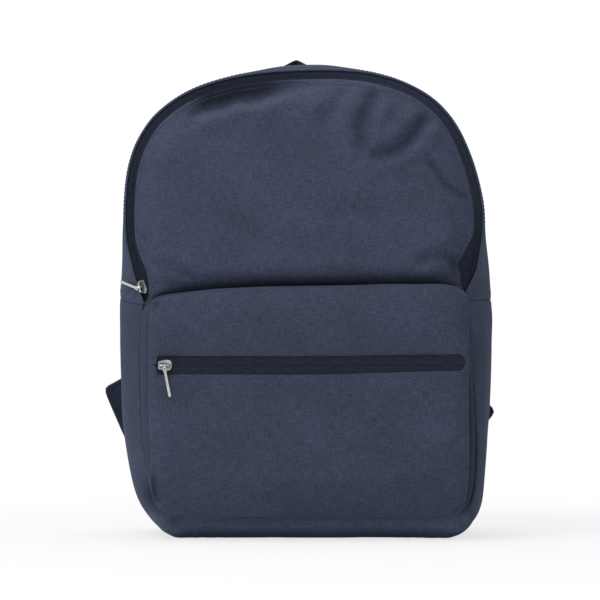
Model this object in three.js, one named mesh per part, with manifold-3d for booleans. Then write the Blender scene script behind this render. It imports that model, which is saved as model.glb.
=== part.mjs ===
// School backpack: rounded-arch body, opening front, front pocket, two zips, haul loop and two
// padded shoulder straps.
// Millimetres, +Z up. The front faces -Y and the straps lie on +Y; left is -X and right is +X, as
// seen from the front. The origin is on the ground under the middle of the base.
import * as THREE from "three";
import { mergeVertices } from "three/addons/utils/BufferGeometryUtils.js";
import Module from "manifold-3d";

const wasm = await Module();
wasm.setup();
const { clamp, degToRad, lerp, smoothstep } = THREE.MathUtils;

// ---- driving dimensions --------------------------------------------------------------------
const BACK_Y = 58; // plane of the back seam
const FRONT_Y = -58; // plane of the front seam, below the flap hinge
const LEAN_Z = 200; // the front leans back above this height
const FRONT_LEAN = Math.tan(degToRad(4));
const FLAP_HINGE_Z = 222; // where the opening front folds down
const TOP_Z = 400;
const FABRIC = 1.4; // outer cloth with its coating
const LINING = 0.6;
const GAP = 0.35; // clearance between separate pieces
const BACK_INSET = 9; // the back seam lies this far inside the widest ring
const FOAM_T = 6; // back foam
const BACK_FOAM_Y = BACK_Y - FABRIC - GAP;
const BACK_LINING_Y = BACK_FOAM_Y - FOAM_T - GAP;

const TAPE_HALF = 6; // from a zip's centre line to the exposed edge of its tape
const TAPE_T = 0.7;
const CHAIN_GAP = 0.5; // half of the slot the slider's post runs in
const COIL_HALF = 3.2;
const COIL_T = 1.5;
const COIL_TOP = TAPE_T + GAP; // depth of the coil's near face behind the tape's outer face
const COIL_BOTTOM = COIL_TOP + COIL_T;
const TAPE_TILT = degToRad(38); // the main zip band turns outward from facing forward
const ZIP_SETBACK = 3.2; // main zip's centre line behind the front surface

const POCKET_Y = -80; // front face of the pocket
const POCKET_ZIP_Z = 147;
const POCKET_ZIP_X = [-127.6, 136.2]; // ends of the pocket zip

const PAD_W = 56; // shoulder pad
const PAD_T = 10;
const WEB_W = 24; // webbing
const WEB_T = 1.6;

// ---- measured outlines, all [x, z] ---------------------------------------------------------
// widest ring of the body, clockwise seen from the front, from the middle of the base
const WIDEST_RING = [
  [5, 0], [-40, 0], [-85, 0], [-107, 0.3], [-120, 3.6], [-131, 13], [-138.6, 24], [-144, 36],
  [-149, 56], [-152.6, 76], [-155, 100], [-156.6, 133], [-157.8, 167], [-157.8, 200],
  [-156.6, 225], [-155.2, 250], [-153.4, 275], [-151, 300], [-147.2, 321], [-140.4, 338],
  [-129.8, 354.4], [-111, 371.4], [-96, 380], [-73, 388.4], [-50, 394.4], [-25, 398.4],
  [2, 400], [28, 399.6], [54, 395.4], [76, 388.6], [94, 380], [108, 371], [123, 355],
  [133, 337.6], [140.6, 320.6], [146, 303], [150.4, 284], [153.2, 262], [156.4, 237],
  [158.4, 205], [158.6, 165], [158, 125], [156, 90], [154.4, 60], [151.8, 37], [147.4, 20.6],
  [138, 8.6], [125, 1.6], [110, 0], [60, 0],
];
// centre line of the main zip, from its left foot over the arch to its right foot
const ZIP_LINE = [
  [-133.7, 201.5], [-137.6, 218.5], [-141.5, 235.5], [-145.4, 252.5], [-146.3, 269.5],
  [-146, 286.5], [-144.6, 303.5], [-141.6, 318.5], [-135.6, 334.4], [-125.4, 350.4],
  [-111.8, 363], [-95.6, 373], [-76, 380.6], [-54.8, 385.9], [-33.6, 389], [-12.3, 390.6],
  [8.9, 391.2], [30.2, 391], [51.4, 389], [72.7, 384], [91.4, 376.2], [106.7, 366.2],
  [118.6, 353.6], [127.2, 340], [133.9, 325], [139, 310], [143, 294], [145.6, 277],
  [145.4, 259.3], [142.9, 241], [140.3, 222.5], [137.7, 204],
];
// front seam below the zip ends: down the left side, along the bottom, up the right side
const LOW_SEAM = [
  [-137, 197.4], [-138.8, 172], [-139.7, 146], [-139, 116], [-137.3, 91], [-134.7, 66],
  [-130, 45], [-121.5, 29.5], [-109, 20.5], [-88, 16.8], [-45, 16], [0, 16], [45, 16], [88, 16],
  [113, 16.4], [128, 19.6], [138.4, 29], [143.2, 44], [145, 68], [145, 92], [143.8, 112],
  [141.6, 149], [139, 176], [137.8, 201],
];
// front face of the pocket, clockwise seen from the front, from its top left corner
const POCKET_FACE = [
  [-129.6, 194], [-127, 201.5], [-120, 205.8], [-90, 209.6], [-45, 212.6], [0, 214],
  [45, 214.4], [90, 214.6], [118, 214.2], [129, 211.4], [135.6, 204.6], [138, 195],
  [138.4, 160], [138.4, 120], [138.2, 80], [137, 48], [134.4, 32], [126, 24], [112, 20.8],
  [70, 19.4], [0, 19], [-70, 19.6], [-104, 22], [-118, 28], [-126, 40], [-129, 70],
  [-130.4, 110], [-130.6, 160],
];

// ---- finishes ------------------------------------------------------------------------------
const finish = (settings) => new THREE.MeshStandardMaterial({ metalness: 0, ...settings });
const FINISH = {
  heather: finish({ color: 0x3c4356, roughness: 0.9 }),
  lining: finish({ color: 0x24262c, roughness: 0.85 }),
  tape: finish({ color: 0x24272f, roughness: 0.8 }),
  coil: finish({ color: 0x1c1e24, roughness: 0.45 }),
  metal: finish({ color: 0xc8c9cc, roughness: 0.3, metalness: 1 }),
  web: finish({ color: 0x262c3a, roughness: 0.75 }),
  plastic: finish({ color: 0x17181b, roughness: 0.5 }),
  foam: finish({ color: 0x8c8f94, roughness: 0.95 }),
  mesh: finish({ color: 0x23272f, roughness: 0.9 }),
  board: finish({ color: 0x2d2e30, roughness: 0.6 }),
};

const model = new THREE.Group();
function add(name, geometry, material, parent = model) {
  const mesh = new THREE.Mesh(geometry, material);
  mesh.name = name;
  parent.add(mesh);
}

// ---- solids --------------------------------------------------------------------------------
const vec = (x, y, z) => new THREE.Vector3(x, y, z);

// six times the signed volume; negative when the faces point inward
function signedVolume(pos, idx) {
  let sum = 0;
  for (let i = 0; i < idx.length; i += 3) {
    const [a, b, c] = [idx[i] * 3, idx[i + 1] * 3, idx[i + 2] * 3];
    sum +=
      pos[a] * (pos[b + 1] * pos[c + 2] - pos[b + 2] * pos[c + 1]) -
      pos[a + 1] * (pos[b] * pos[c + 2] - pos[b + 2] * pos[c]) +
      pos[a + 2] * (pos[b] * pos[c + 1] - pos[b + 1] * pos[c]);
  }
  return sum;
}

// indexed geometry with its faces turned outward
function solid(points, idx) {
  const pos = points.flatMap((p) => [p.x, p.y, p.z]);
  if (signedVolume(pos, idx) < 0) {
    for (let i = 0; i < idx.length; i += 3) [idx[i + 1], idx[i + 2]] = [idx[i + 2], idx[i + 1]];
  }
  const geometry = new THREE.BufferGeometry();
  geometry.setAttribute("position", new THREE.Float32BufferAttribute(pos, 3));
  geometry.setIndex(idx);
  return geometry;
}

// solid through a run of sections, each a loop of points; a ring closes on itself, others get caps
function loft(loops, ring = false) {
  const size = loops[0].length;
  const count = loops.length;
  const idx = [];
  for (let i = 0; i < (ring ? count : count - 1); i++) {
    for (let j = 0; j < size; j++) {
      const a = i * size + j;
      const b = i * size + ((j + 1) % size);
      const c = ((i + 1) % count) * size + j;
      const d = ((i + 1) % count) * size + ((j + 1) % size);
      idx.push(a, c, b, b, c, d);
    }
  }
  // a cap pairs the loop's two long sides, which keeps thin curved sections valid
  const cap = (base, flip) => {
    for (let j = 0; j < size / 2 - 1; j++) {
      const a = base + j;
      const b = a + 1;
      const c = base + size - 1 - j;
      const d = c - 1;
      if (flip) idx.push(a, c, b, b, c, d);
      else idx.push(a, b, c, b, d, c);
    }
  };
  if (!ring) {
    cap(0, false);
    cap((count - 1) * size, true);
  }
  return solid(loops.flat(), idx);
}

// slab over an [x, z] outline, between two surfaces that give y from z
function slab(outline, outerY, innerY) {
  const contour = outline.map(([x, z]) => new THREE.Vector2(x, z));
  if (THREE.ShapeUtils.isClockWise(contour)) contour.reverse();
  const count = contour.length;
  const points = [outerY, innerY].flatMap((yAt) => contour.map((p) => vec(p.x, yAt(p.y), p.y)));
  const idx = [];
  for (const [a, b, c] of THREE.ShapeUtils.triangulateShape(contour, [])) {
    idx.push(a, b, c, count + a, count + c, count + b);
  }
  for (let i = 0; i < count; i++) {
    const j = (i + 1) % count;
    idx.push(i, count + i, j, j, count + i, count + j);
  }
  return solid(points, idx);
}
const flatSlab = (outline, outerY, innerY) => slab(outline, () => outerY, () => innerY);

function box([x0, x1], [y0, y1], [z0, z1]) {
  const geometry = new THREE.BoxGeometry(x1 - x0, y1 - y0, z1 - z0);
  return geometry.translate((x0 + x1) / 2, (y0 + y1) / 2, (z0 + z1) / 2);
}

// rectangle across a frame { centre, across, facing }: ranges a0..a1 across, f0..f1 along facing
function bandSection({ centre, across, facing }, [a0, a1], [f0, f1]) {
  const at = (a, f) => centre.clone().addScaledVector(across, a).addScaledVector(facing, f);
  return [at(a0, f1), at(a1, f1), at(a1, f0), at(a0, f0)];
}
const band = (frames, acrossRange, facingRange) =>
  loft(frames.map((frame) => bandSection(frame, acrossRange, facingRange)));
const centred = (size) => [-size / 2, size / 2];

// closed shape from rows: [x, y] is a corner, [control x, control y, x, y] a quadratic curve
function shapeFrom([start, ...rows]) {
  const shape = new THREE.Shape();
  shape.moveTo(...start);
  for (const row of rows) {
    if (row.length === 2) shape.lineTo(...row);
    else shape.quadraticCurveTo(...row);
  }
  shape.closePath();
  return shape;
}
const extrude = (shape, depth, curveSegments) =>
  new THREE.ExtrudeGeometry(shape, { depth, bevelEnabled: false, curveSegments });

function toManifold(source) {
  const bare = source.clone();
  for (const key of Object.keys(bare.attributes)) {
    if (key !== "position") bare.deleteAttribute(key);
  }
  const merged = mergeVertices(bare, 1e-4);
  const mesh = new wasm.Mesh({
    numProp: 3,
    vertProperties: new Float32Array(merged.attributes.position.array),
    triVerts: new Uint32Array(merged.index.array),
  });
  return new wasm.Manifold(mesh);
}
function fromManifold(manifold) {
  const mesh = manifold.getMesh();
  const geometry = new THREE.BufferGeometry();
  const positions = new Float32Array(mesh.vertProperties);
  geometry.setAttribute("position", new THREE.BufferAttribute(positions, 3));
  geometry.setIndex(new THREE.BufferAttribute(new Uint32Array(mesh.triVerts), 1));
  return geometry;
}
const join = (...parts) => fromManifold(parts.map(toManifold).reduce((a, b) => a.add(b)));
const cut = (body, ...tools) =>
  fromManifold(tools.reduce((rest, tool) => rest.subtract(toManifold(tool)), toManifold(body)));

// ---- runs in the XZ plane ------------------------------------------------------------------
function spline(table, count, closed = false) {
  const points = table.map(([x, z]) => vec(x, 0, z));
  const curve = new THREE.CatmullRomCurve3(points, closed, "centripetal");
  const steps = closed ? count : count - 1;
  return Array.from({ length: count }, (_, i) => curve.getPoint(i / steps));
}

// outward normals of a run that goes clockwise seen from the front
function normalsOf(run, closed = false) {
  const count = run.length;
  return run.map((_, i) => {
    const before = run[closed ? (i - 1 + count) % count : Math.max(0, i - 1)];
    const after = run[closed ? (i + 1) % count : Math.min(count - 1, i + 1)];
    const tangent = after.clone().sub(before).normalize();
    return vec(-tangent.z, 0, tangent.x);
  });
}

// nearest point of a run, with its fractional index
function nearest(run, target) {
  let best = null;
  let bestDistance = Infinity;
  for (let i = 0; i < run.length - 1; i++) {
    const leg = run[i + 1].clone().sub(run[i]);
    const t = clamp(target.clone().sub(run[i]).dot(leg) / leg.lengthSq(), 0, 1);
    const point = run[i].clone().addScaledVector(leg, t);
    const distance = point.distanceTo(target);
    if (distance < bestDistance) {
      bestDistance = distance;
      best = { point, index: i + t };
    }
  }
  return best;
}

// point moved inward against its normal, placed at depth y
const inward = (p, normal, distance, y = 0) =>
  vec(p.x - normal.x * distance, y, p.z - normal.z * distance);

// [x, z] outline lying inside a run
const insetOutline = (run, normals, distance) =>
  run.map((p, i) => {
    const q = inward(p, normals[i], distance);
    return [q.x, q.z];
  });

// the part of a closed [x, z] outline above or below a height
function clipAtZ(outline, z, keepAbove) {
  const keeps = (p) => (keepAbove ? p[1] >= z : p[1] <= z);
  return outline.flatMap((a, i) => {
    const b = outline[(i + 1) % outline.length];
    const kept = keeps(a) ? [a] : [];
    if (keeps(a) !== keeps(b)) {
      const t = (z - a[1]) / (b[1] - a[1]);
      kept.push([a[0] + (b[0] - a[0]) * t, z]);
    }
    return kept;
  });
}

// ---- shared body runs ----------------------------------------------------------------------
const frontY = (z) => FRONT_Y + Math.max(0, z - LEAN_Z) * FRONT_LEAN;

const RING_COUNT = 80;
const ring = spline(WIDEST_RING, RING_COUNT, true);
// level the base and hold the top at its height
for (const p of ring) p.z = p.z < 0.25 ? 0 : Math.min(TOP_Z, p.z);
const ringNormals = normalsOf(ring, true);
const closedRing = [...ring, ring[0]];

const seam = spline(LOW_SEAM, 48);
const seamNormals = normalsOf(seam).map((n) => n.negate()); // the seam runs anticlockwise

const zipLine = spline(ZIP_LINE, 60);
const zipNormals = normalsOf(zipLine);
// main zip frames: across runs from the rear tape to the front tape, facing points outward
const zipFrames = zipLine.map((p, i) => {
  const n = zipNormals[i];
  const cos = Math.cos(TAPE_TILT);
  const sin = Math.sin(TAPE_TILT);
  return {
    centre: vec(p.x, frontY(p.z) + ZIP_SETBACK, p.z),
    across: vec(-n.x * cos, -sin, -n.z * cos),
    facing: vec(n.x * sin, -cos, n.z * sin),
  };
});

const pocketFace = spline(POCKET_FACE, 60, true);
const pocketNormals = normalsOf(pocketFace, true);
const pocketOutline = insetOutline(pocketFace, pocketNormals, 1.7);

// ---- gussets and base ----------------------------------------------------------------------
// sections from the front edge to the back seam, in matching rows:
// [share of the front edge's offset, share of the back inset, share of the depth]
const SIDE_SECTION = [
  [1, 0, 0], [0.42, 0, 0.14], [0.1, 0, 0.3], [0, 0, 0.45], [0, 0.02, 0.72], [0, 0.3, 0.9],
  [0, 1, 1],
];
// the base is flatter from front to back
const BASE_SECTION = [
  [1, 0, 0], [0.3, 0, 0.05], [0, 0, 0.12], [0, 0, 0.45], [0, 0, 0.89], [0, 0.3, 0.96],
  [0, 1, 1],
];
const BASE_BLEND_Z = [17, 33]; // front edge heights between the base section and the side section

// point and normal of the widest ring beside a front edge point
function widestBeside(edge, normal) {
  const REACH = 8; // look from a little outside the edge
  const { point, index } = nearest(closedRing, edge.clone().addScaledVector(normal, REACH));
  const i = Math.floor(index) % RING_COUNT;
  const next = ringNormals[(i + 1) % RING_COUNT];
  const t = index - Math.floor(index);
  return { point, normal: ringNormals[i].clone().lerp(next, t).normalize() };
}

function gussetSection(edge, edgeNormal, edgeY) {
  const { point, normal } = widestBeside(edge, edgeNormal);
  const baseShare = 1 - smoothstep(edge.z, ...BASE_BLEND_Z);
  const surface = (inset) =>
    SIDE_SECTION.map((row, i) => {
      const [edgeShare, backShare, depthShare] = row.map((value, j) =>
        lerp(value, BASE_SECTION[i][j], baseShare),
      );
      const base = point.clone().lerp(edge, edgeShare);
      return inward(base, normal, BACK_INSET * backShare + inset, lerp(edgeY, BACK_Y, depthShare));
    });
  return [...surface(0), ...surface(FABRIC).reverse()];
}

// from the main zip's rear tape to the back seam
function topGusset() {
  const rearEdge = TAPE_HALF + GAP + 1.3;
  const sections = zipFrames.map(({ centre, across }, i) => {
    const edge = centre.clone().addScaledVector(across, -rearEdge);
    return gussetSection(vec(edge.x, 0, edge.z), zipNormals[i], edge.y);
  });
  return loft(sections);
}

const lowerSections = (from, to) =>
  seam
    .slice(from, to + 1)
    .map((p, i) => gussetSection(p, seamNormals[from + i], FRONT_Y + 0.6));

// both ends of a run stop a little short of their neighbours
function trimEnds(sections) {
  const TRIM = 0.4;
  const GUIDE = 3; // the section point whose direction of run is followed
  const last = sections.length - 1;
  const shift = (section, neighbour) => {
    const step = neighbour[GUIDE].clone().sub(section[GUIDE]).normalize().multiplyScalar(TRIM);
    return section.map((p) => p.clone().add(step));
  };
  return sections.map((section, i) => {
    if (i === 0) return shift(section, sections[1]);
    if (i === last) return shift(section, sections[last - 1]);
    return section;
  });
}

function addGussets() {
  const baseLeft = seam.findIndex((p) => p.z < 21 && p.x > -112);
  const baseRight = seam.findLastIndex((p) => p.z < 18 && p.x < 122);
  const left = loft(trimEnds(lowerSections(0, baseLeft)));
  const right = loft(trimEnds(lowerSections(baseRight, seam.length - 1)));
  add("top_gusset", topGusset(), FINISH.heather);
  add("side_gusset_left", left, FINISH.heather);
  add("base_panel", loft(lowerSections(baseLeft, baseRight)), FINISH.heather);
  add("side_gusset_right", right, FINISH.heather);
}

// ---- back, linings, board ------------------------------------------------------------------
const isEven = (_, i) => i % 2 === 0;
const backOutline = (inset) =>
  insetOutline(ring, ringNormals, BACK_INSET + inset).filter(isEven);

function addBack() {
  const panel = flatSlab(backOutline(FABRIC + 1.1), BACK_Y, BACK_Y - FABRIC);
  const foam = flatSlab(backOutline(6), BACK_FOAM_Y, BACK_FOAM_Y - FOAM_T);
  const lining = flatSlab(backOutline(5), BACK_LINING_Y, BACK_LINING_Y - LINING);
  add("back_panel", panel, FINISH.heather);
  add("back_foam", foam, FINISH.foam);
  add("back_lining", lining, FINISH.lining);
}

// ring whose section comes from rows [y, distance inside the widest ring]
function ringLoft(rowsAt) {
  const sections = ring.map((p, i) =>
    rowsAt(p.z).map(([y, inset]) => inward(p, ringNormals[i], inset, y)),
  );
  return loft(sections.filter(isEven), true);
}

// inside the gussets, open at the front and the back
function bodyLining() {
  return ringLoft((z) => {
    const edgeY = frontY(z) + 16;
    const low = 1 - smoothstep(z, 225, 285); // the front edge draws further in low down
    const outer = [
      [edgeY, 9.6 + 7.4 * low],
      [Math.max(-33, edgeY + 3.5), 5.6 + 3 * low],
      [-20, 4.6],
      [30, 4.6],
      [BACK_LINING_Y - 2.2, 9.5],
    ];
    return [...outer, ...outer.map(([y, inset]) => [y, inset + LINING]).reverse()];
  });
}

// flat ring round the inside of the back seam
function backSeamBinding() {
  const rearY = BACK_LINING_Y - 1.2;
  const frontFaceY = BACK_LINING_Y - 2;
  const [outerInset, innerInset] = [11.6, 20];
  return ringLoft(() => [
    [rearY, outerInset],
    [rearY, innerInset],
    [frontFaceY, innerInset],
    [frontFaceY, outerInset],
  ]);
}

function addLinings() {
  add("body_lining", bodyLining(), FINISH.lining);
  add("back_seam_binding", backSeamBinding(), FINISH.tape);
  add("base_board", box([-98, 98], [-31, 42], [9.7, 11.7]), FINISH.board);
}

// ---- lower front wall, behind the pocket ---------------------------------------------------
function frontWall() {
  const wallY = FRONT_Y + 1.2;
  const topZ = FLAP_HINGE_Z - 1;
  const low = insetOutline(seam, seamNormals, FABRIC + 1).filter(
    (_, i) => i % 2 === 0 || i === seam.length - 1,
  );
  const top = [[131.6, 208], [129.6, topZ], [-129, topZ], [-126.2, 206]];
  return flatSlab([...low, ...top], wallY, wallY + FABRIC);
}

// ---- inner slip pocket ---------------------------------------------------------------------
function addSleeve() {
  const sleeveY = BACK_LINING_Y - 11;
  const half = 124;
  const topZ = 214;
  const outline = [[-118, 24], [118, 24], [half, 120], [half, topZ], [-half, topZ], [-half, 120]];
  const binding = box([-half, half], [sleeveY - 1.2, sleeveY + 0.4], [topZ + 0.4, topZ + 8.4]);
  add("inner_sleeve", flatSlab(outline, sleeveY, sleeveY - 0.8), FINISH.lining);
  add("inner_sleeve_binding", binding, FINISH.tape);
}

// ---- main zip ------------------------------------------------------------------------------
const flapFrames = zipFrames.filter(({ centre }) => centre.z > FLAP_HINGE_Z + 1.5);

function addMainZip() {
  const below = zipFrames.filter(({ centre }) => centre.z < FLAP_HINGE_Z - 1);
  const leftFoot = below.filter(({ centre }) => centre.x < 0);
  const rightFoot = below.filter(({ centre }) => centre.x > 0);
  const tape = (frames, range) => band(frames, range, [-TAPE_T, 0]);
  const coil = (frames, range) => band(frames, range, [-COIL_BOTTOM, -COIL_TOP]);
  const rearCoil = coil(zipFrames.slice(1, -1), [-COIL_HALF, -CHAIN_GAP]);
  const endRange = [CHAIN_GAP, TAPE_HALF - 0.6];
  add("main_zip_tape_rear", tape(zipFrames, [-TAPE_HALF, -CHAIN_GAP]), FINISH.tape);
  add("main_zip_coil_rear", rearCoil, FINISH.coil);
  add("main_zip_tape_front", tape(flapFrames, [CHAIN_GAP, TAPE_HALF]), FINISH.tape);
  add("main_zip_coil_front", coil(flapFrames, [CHAIN_GAP, COIL_HALF]), FINISH.coil);
  add("main_zip_end_left", tape(leftFoot, endRange), FINISH.tape);
  add("main_zip_end_right", tape(rightFoot, endRange), FINISH.tape);
}

// ---- opening front -------------------------------------------------------------------------
// slab that follows the leaning front
const leaningSlab = (outline, offset, thickness) =>
  slab(outline, (z) => frontY(z) + offset, (z) => frontY(z) + offset + thickness);

function addFlap() {
  const hemZ = FLAP_HINGE_Z + 1.2;
  const flapOffset = -0.6;
  const arch = flapFrames.map(({ centre, across }) => {
    const p = centre.clone().addScaledVector(across, TAPE_HALF + GAP + 0.9);
    return [p.x, p.z];
  });
  const outline = [...arch, [arch.at(-1)[0], hemZ], [arch[0][0], hemZ]];

  // the lining's outline is drawn in towards a point inside the flap
  const middleZ = 300;
  const drawIn = 2.5;
  const liningOutline = outline.map(([x, z]) => {
    const radius = Math.hypot(x, z - middleZ);
    return [x - (x / radius) * drawIn, Math.max(hemZ, z - ((z - middleZ) / radius) * drawIn)];
  });
  const lining = leaningSlab(liningOutline, flapOffset + FABRIC + GAP, LINING);
  add("front_flap", leaningSlab(outline, flapOffset, FABRIC), FINISH.heather);
  add("flap_lining", lining, FINISH.lining);
}

// ---- front pocket --------------------------------------------------------------------------
// ring from the body seam, or from the front wall at the top, out to the pocket's face
function pocketGusset() {
  const CLOTH = 1.2;
  const FLARE = 1.2; // at the top the rear edge lies this far outside the face
  const MAX_Z = 217;
  const sections = pocketFace.map((p, i) => {
    const n = pocketNormals[i];
    const flared = inward(p, n, -FLARE);
    flared.z = Math.min(flared.z, MAX_Z);
    const root = nearest(seam, p).point.lerp(flared, smoothstep(p.z, 176, 196));
    const middle = root.clone().add(p).multiplyScalar(0.5);
    const outer = [
      inward(root, n, 1.4, FRONT_Y - 0.6),
      inward(middle, n, 0.1, (FRONT_Y + POCKET_Y) / 2 - 1),
      vec(p.x, POCKET_Y + 1, p.z),
    ];
    return [...outer, ...outer.map((q) => inward(q, n, CLOTH, q.y)).reverse()];
  });
  return loft(sections, true);
}

// smaller copy of the face, shrunk about its middle height, with its top cut level
function pocketLining() {
  const middleZ = 116;
  const outline = pocketOutline.map(([x, z]) => [x * 0.97, middleZ + (z - middleZ) * 0.965]);
  return flatSlab(clipAtZ(outline, 211, false), FRONT_Y - 0.6, FRONT_Y);
}

const POCKET_TAPE_Y = POCKET_Y + FABRIC; // outer face of the pocket tapes

function addPocketZip() {
  const [leftX, rightX] = POCKET_ZIP_X;
  const z = POCKET_ZIP_Z;
  const coilY = POCKET_TAPE_Y + COIL_TOP;
  const tape = (zRange) => box(POCKET_ZIP_X, [POCKET_TAPE_Y, POCKET_TAPE_Y + TAPE_T], zRange);
  const coil = (zRange) => box([leftX + 3, rightX - 3], [coilY, coilY + COIL_T], zRange);
  // stop across the chain, on the inside
  const stop = (xRange) => box(xRange, [coilY, coilY + 1.7], [z - 3, z + 3]);
  add("pocket_zip_tape_upper", tape([z + CHAIN_GAP, z + TAPE_HALF]), FINISH.tape);
  add("pocket_zip_tape_lower", tape([z - TAPE_HALF, z - CHAIN_GAP]), FINISH.tape);
  add("pocket_zip_coil_upper", coil([z + CHAIN_GAP, z + COIL_HALF]), FINISH.coil);
  add("pocket_zip_coil_lower", coil([z - COIL_HALF, z - CHAIN_GAP]), FINISH.coil);
  add("pocket_zip_stop_left", stop([leftX + 0.4, leftX + 2.6]), FINISH.metal);
  add("pocket_zip_stop_right", stop([rightX - 2.6, rightX - 0.4]), FINISH.metal);
}

function addPocket() {
  const reach = TAPE_HALF + 0.4; // from the zip's centre line to the cloth
  const panel = (z, above) =>
    flatSlab(clipAtZ(pocketOutline, z, above), POCKET_Y, POCKET_Y + FABRIC);
  add("pocket_gusset", pocketGusset(), FINISH.heather);
  add("pocket_upper_panel", panel(POCKET_ZIP_Z + reach, true), FINISH.heather);
  add("pocket_lower_panel", panel(POCKET_ZIP_Z - reach, false), FINISH.heather);
  addPocketZip();
  add("pocket_lining", pocketLining(), FINISH.lining);
}

// ---- zip sliders ---------------------------------------------------------------------------
// Local frame: X along the zip, Y across it, Z outward from the tape's outer face.
const HINGE_Z = 4.9; // centre of the crown's bar
const BAR_HALF = 0.45;
const PULL_RING = { radius: 2.6, wire: 0.5, y: -0.35 };
const EYE_Y = PULL_RING.y - PULL_RING.radius; // where the pull's eye rides on the ring

// the wide end is towards +X
const PLATE_OUTLINE = [
  [-5.4, -2.5], [-5.4, -3.3, -4.4, -3.4], [1.2, -4.4], [5, -4.6, 5.6, -2.2],
  [5.9, 0, 5.6, 2.2], [5, 4.6, 1.2, 4.4], [-4.4, 3.4], [-5.4, 3.3, -5.4, 2.5],
];
// arch seen from the side, as [along the zip, height]
const CROWN_OUTLINE = [
  [-4.6, 1.2], [-4.6, 3.4], [-4.4, HINGE_Z + BAR_HALF, -2.6, HINGE_Z + BAR_HALF],
  [2.6, HINGE_Z + BAR_HALF], [4.4, HINGE_Z + BAR_HALF, 4.6, 3.4], [4.6, 1.2],
  [3.5, 1.2], [3.5, 3.2], [3.4, HINGE_Z - BAR_HALF, 2.4, HINGE_Z - BAR_HALF],
  [-2.4, HINGE_Z - BAR_HALF], [-3.4, HINGE_Z - BAR_HALF, -3.5, 3.2], [-3.5, 1.2],
];

function sliderBody() {
  const backT = 0.9;
  const crownW = 1.5;
  const plate = (z, thickness) =>
    extrude(shapeFrom(PLATE_OUTLINE), thickness, 4).translate(0, 0, z);
  const post = box([-4.2, 4.2], [-0.28, 0.28], [-COIL_BOTTOM - 0.6, 0.6]);
  // the quarter turn makes the outline's y the local Z
  const crown = extrude(shapeFrom(CROWN_OUTLINE), crownW, 4)
    .rotateX(Math.PI / 2)
    .translate(0, crownW / 2, 0);
  return join(plate(0.3, 1.1), plate(-COIL_BOTTOM - 0.3 - backT, backT), post, crown);
}

// ring in the local YZ plane round the crown's bar
const pullRing = () =>
  new THREE.TorusGeometry(PULL_RING.radius, PULL_RING.wire, 6, 18)
    .rotateY(Math.PI / 2)
    .translate(0, PULL_RING.y, HINGE_Z);

// flat bar hanging towards -Y from an eye at the origin, its flat faces towards +Z and -Z
function pullBar(length) {
  const eyeRadius = 1.85;
  const holeRadius = 0.85;
  const thickness = 1.2;
  const shape = new THREE.Shape();
  shape.moveTo(-eyeRadius, 0);
  shape.absarc(0, 0, eyeRadius, Math.PI, 0, true);
  shape.lineTo(1, -3.2);
  shape.lineTo(1.15, -length + 1.2);
  shape.quadraticCurveTo(1.1, -length, 0, -length);
  shape.quadraticCurveTo(-1.1, -length, -1.15, -length + 1.2);
  shape.lineTo(-1, -3.2);
  shape.closePath();
  const hole = new THREE.Path();
  hole.absarc(0, 0, holeRadius, 0, 2 * Math.PI, false);
  shape.holes.push(hole);
  return extrude(shape, thickness, 5).translate(0, 0, -thickness / 2);
}

// swing turns the pull about its eye; lift raises ring and pull away from the tape
function addSlider(prefix, { centre, along, across, outward, swing, lift, pullLength }) {
  const lifted = new THREE.Matrix4()
    .makeTranslation(0, 0, HINGE_Z)
    .multiply(new THREE.Matrix4().makeRotationX(-lift))
    .multiply(new THREE.Matrix4().makeTranslation(0, 0, -HINGE_Z));
  const swung = new THREE.Matrix4()
    .makeTranslation(0, EYE_Y, HINGE_Z)
    .multiply(new THREE.Matrix4().makeRotationZ(swing));
  const pull = pullBar(pullLength).applyMatrix4(swung).applyMatrix4(lifted);
  const group = new THREE.Group();
  group.applyMatrix4(new THREE.Matrix4().makeBasis(along, across, outward).setPosition(centre));
  model.add(group);
  add(prefix + "_slider", sliderBody(), FINISH.metal, group);
  add(prefix + "_pull_ring", pullRing().applyMatrix4(lifted), FINISH.metal, group);
  add(prefix + "_pull", pull, FINISH.metal, group);
}

// at the left end of the pocket zip
function addPocketSlider() {
  addSlider("pocket", {
    centre: vec(-116.8, POCKET_TAPE_Y, POCKET_ZIP_Z),
    along: vec(1, 0, 0),
    across: vec(0, 0, 1),
    outward: vec(0, -1, 0),
    swing: degToRad(11),
    lift: 0,
    pullLength: 23.8,
  });
}

// on the straight left leg of the main zip, its wide end down
function addMainSlider() {
  const SLIDER_Z = 212.5;
  const foot = zipFrames[0].centre;
  const legEnd = zipFrames.findIndex(({ centre }) => centre.z > 250);
  const up = zipFrames[legEnd].centre.clone().sub(foot).normalize();
  const along = up.clone().negate();
  const middleAcross = zipFrames[Math.floor(legEnd / 2)].across;
  const across = middleAcross.clone().addScaledVector(up, -middleAcross.dot(up)).normalize();
  addSlider("main", {
    centre: foot.clone().addScaledVector(up, (SLIDER_Z - foot.z) / up.z),
    along,
    across,
    outward: along.clone().cross(across).normalize(),
    swing: degToRad(-26),
    lift: -0.21,
    pullLength: 23,
  });
}

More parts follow.
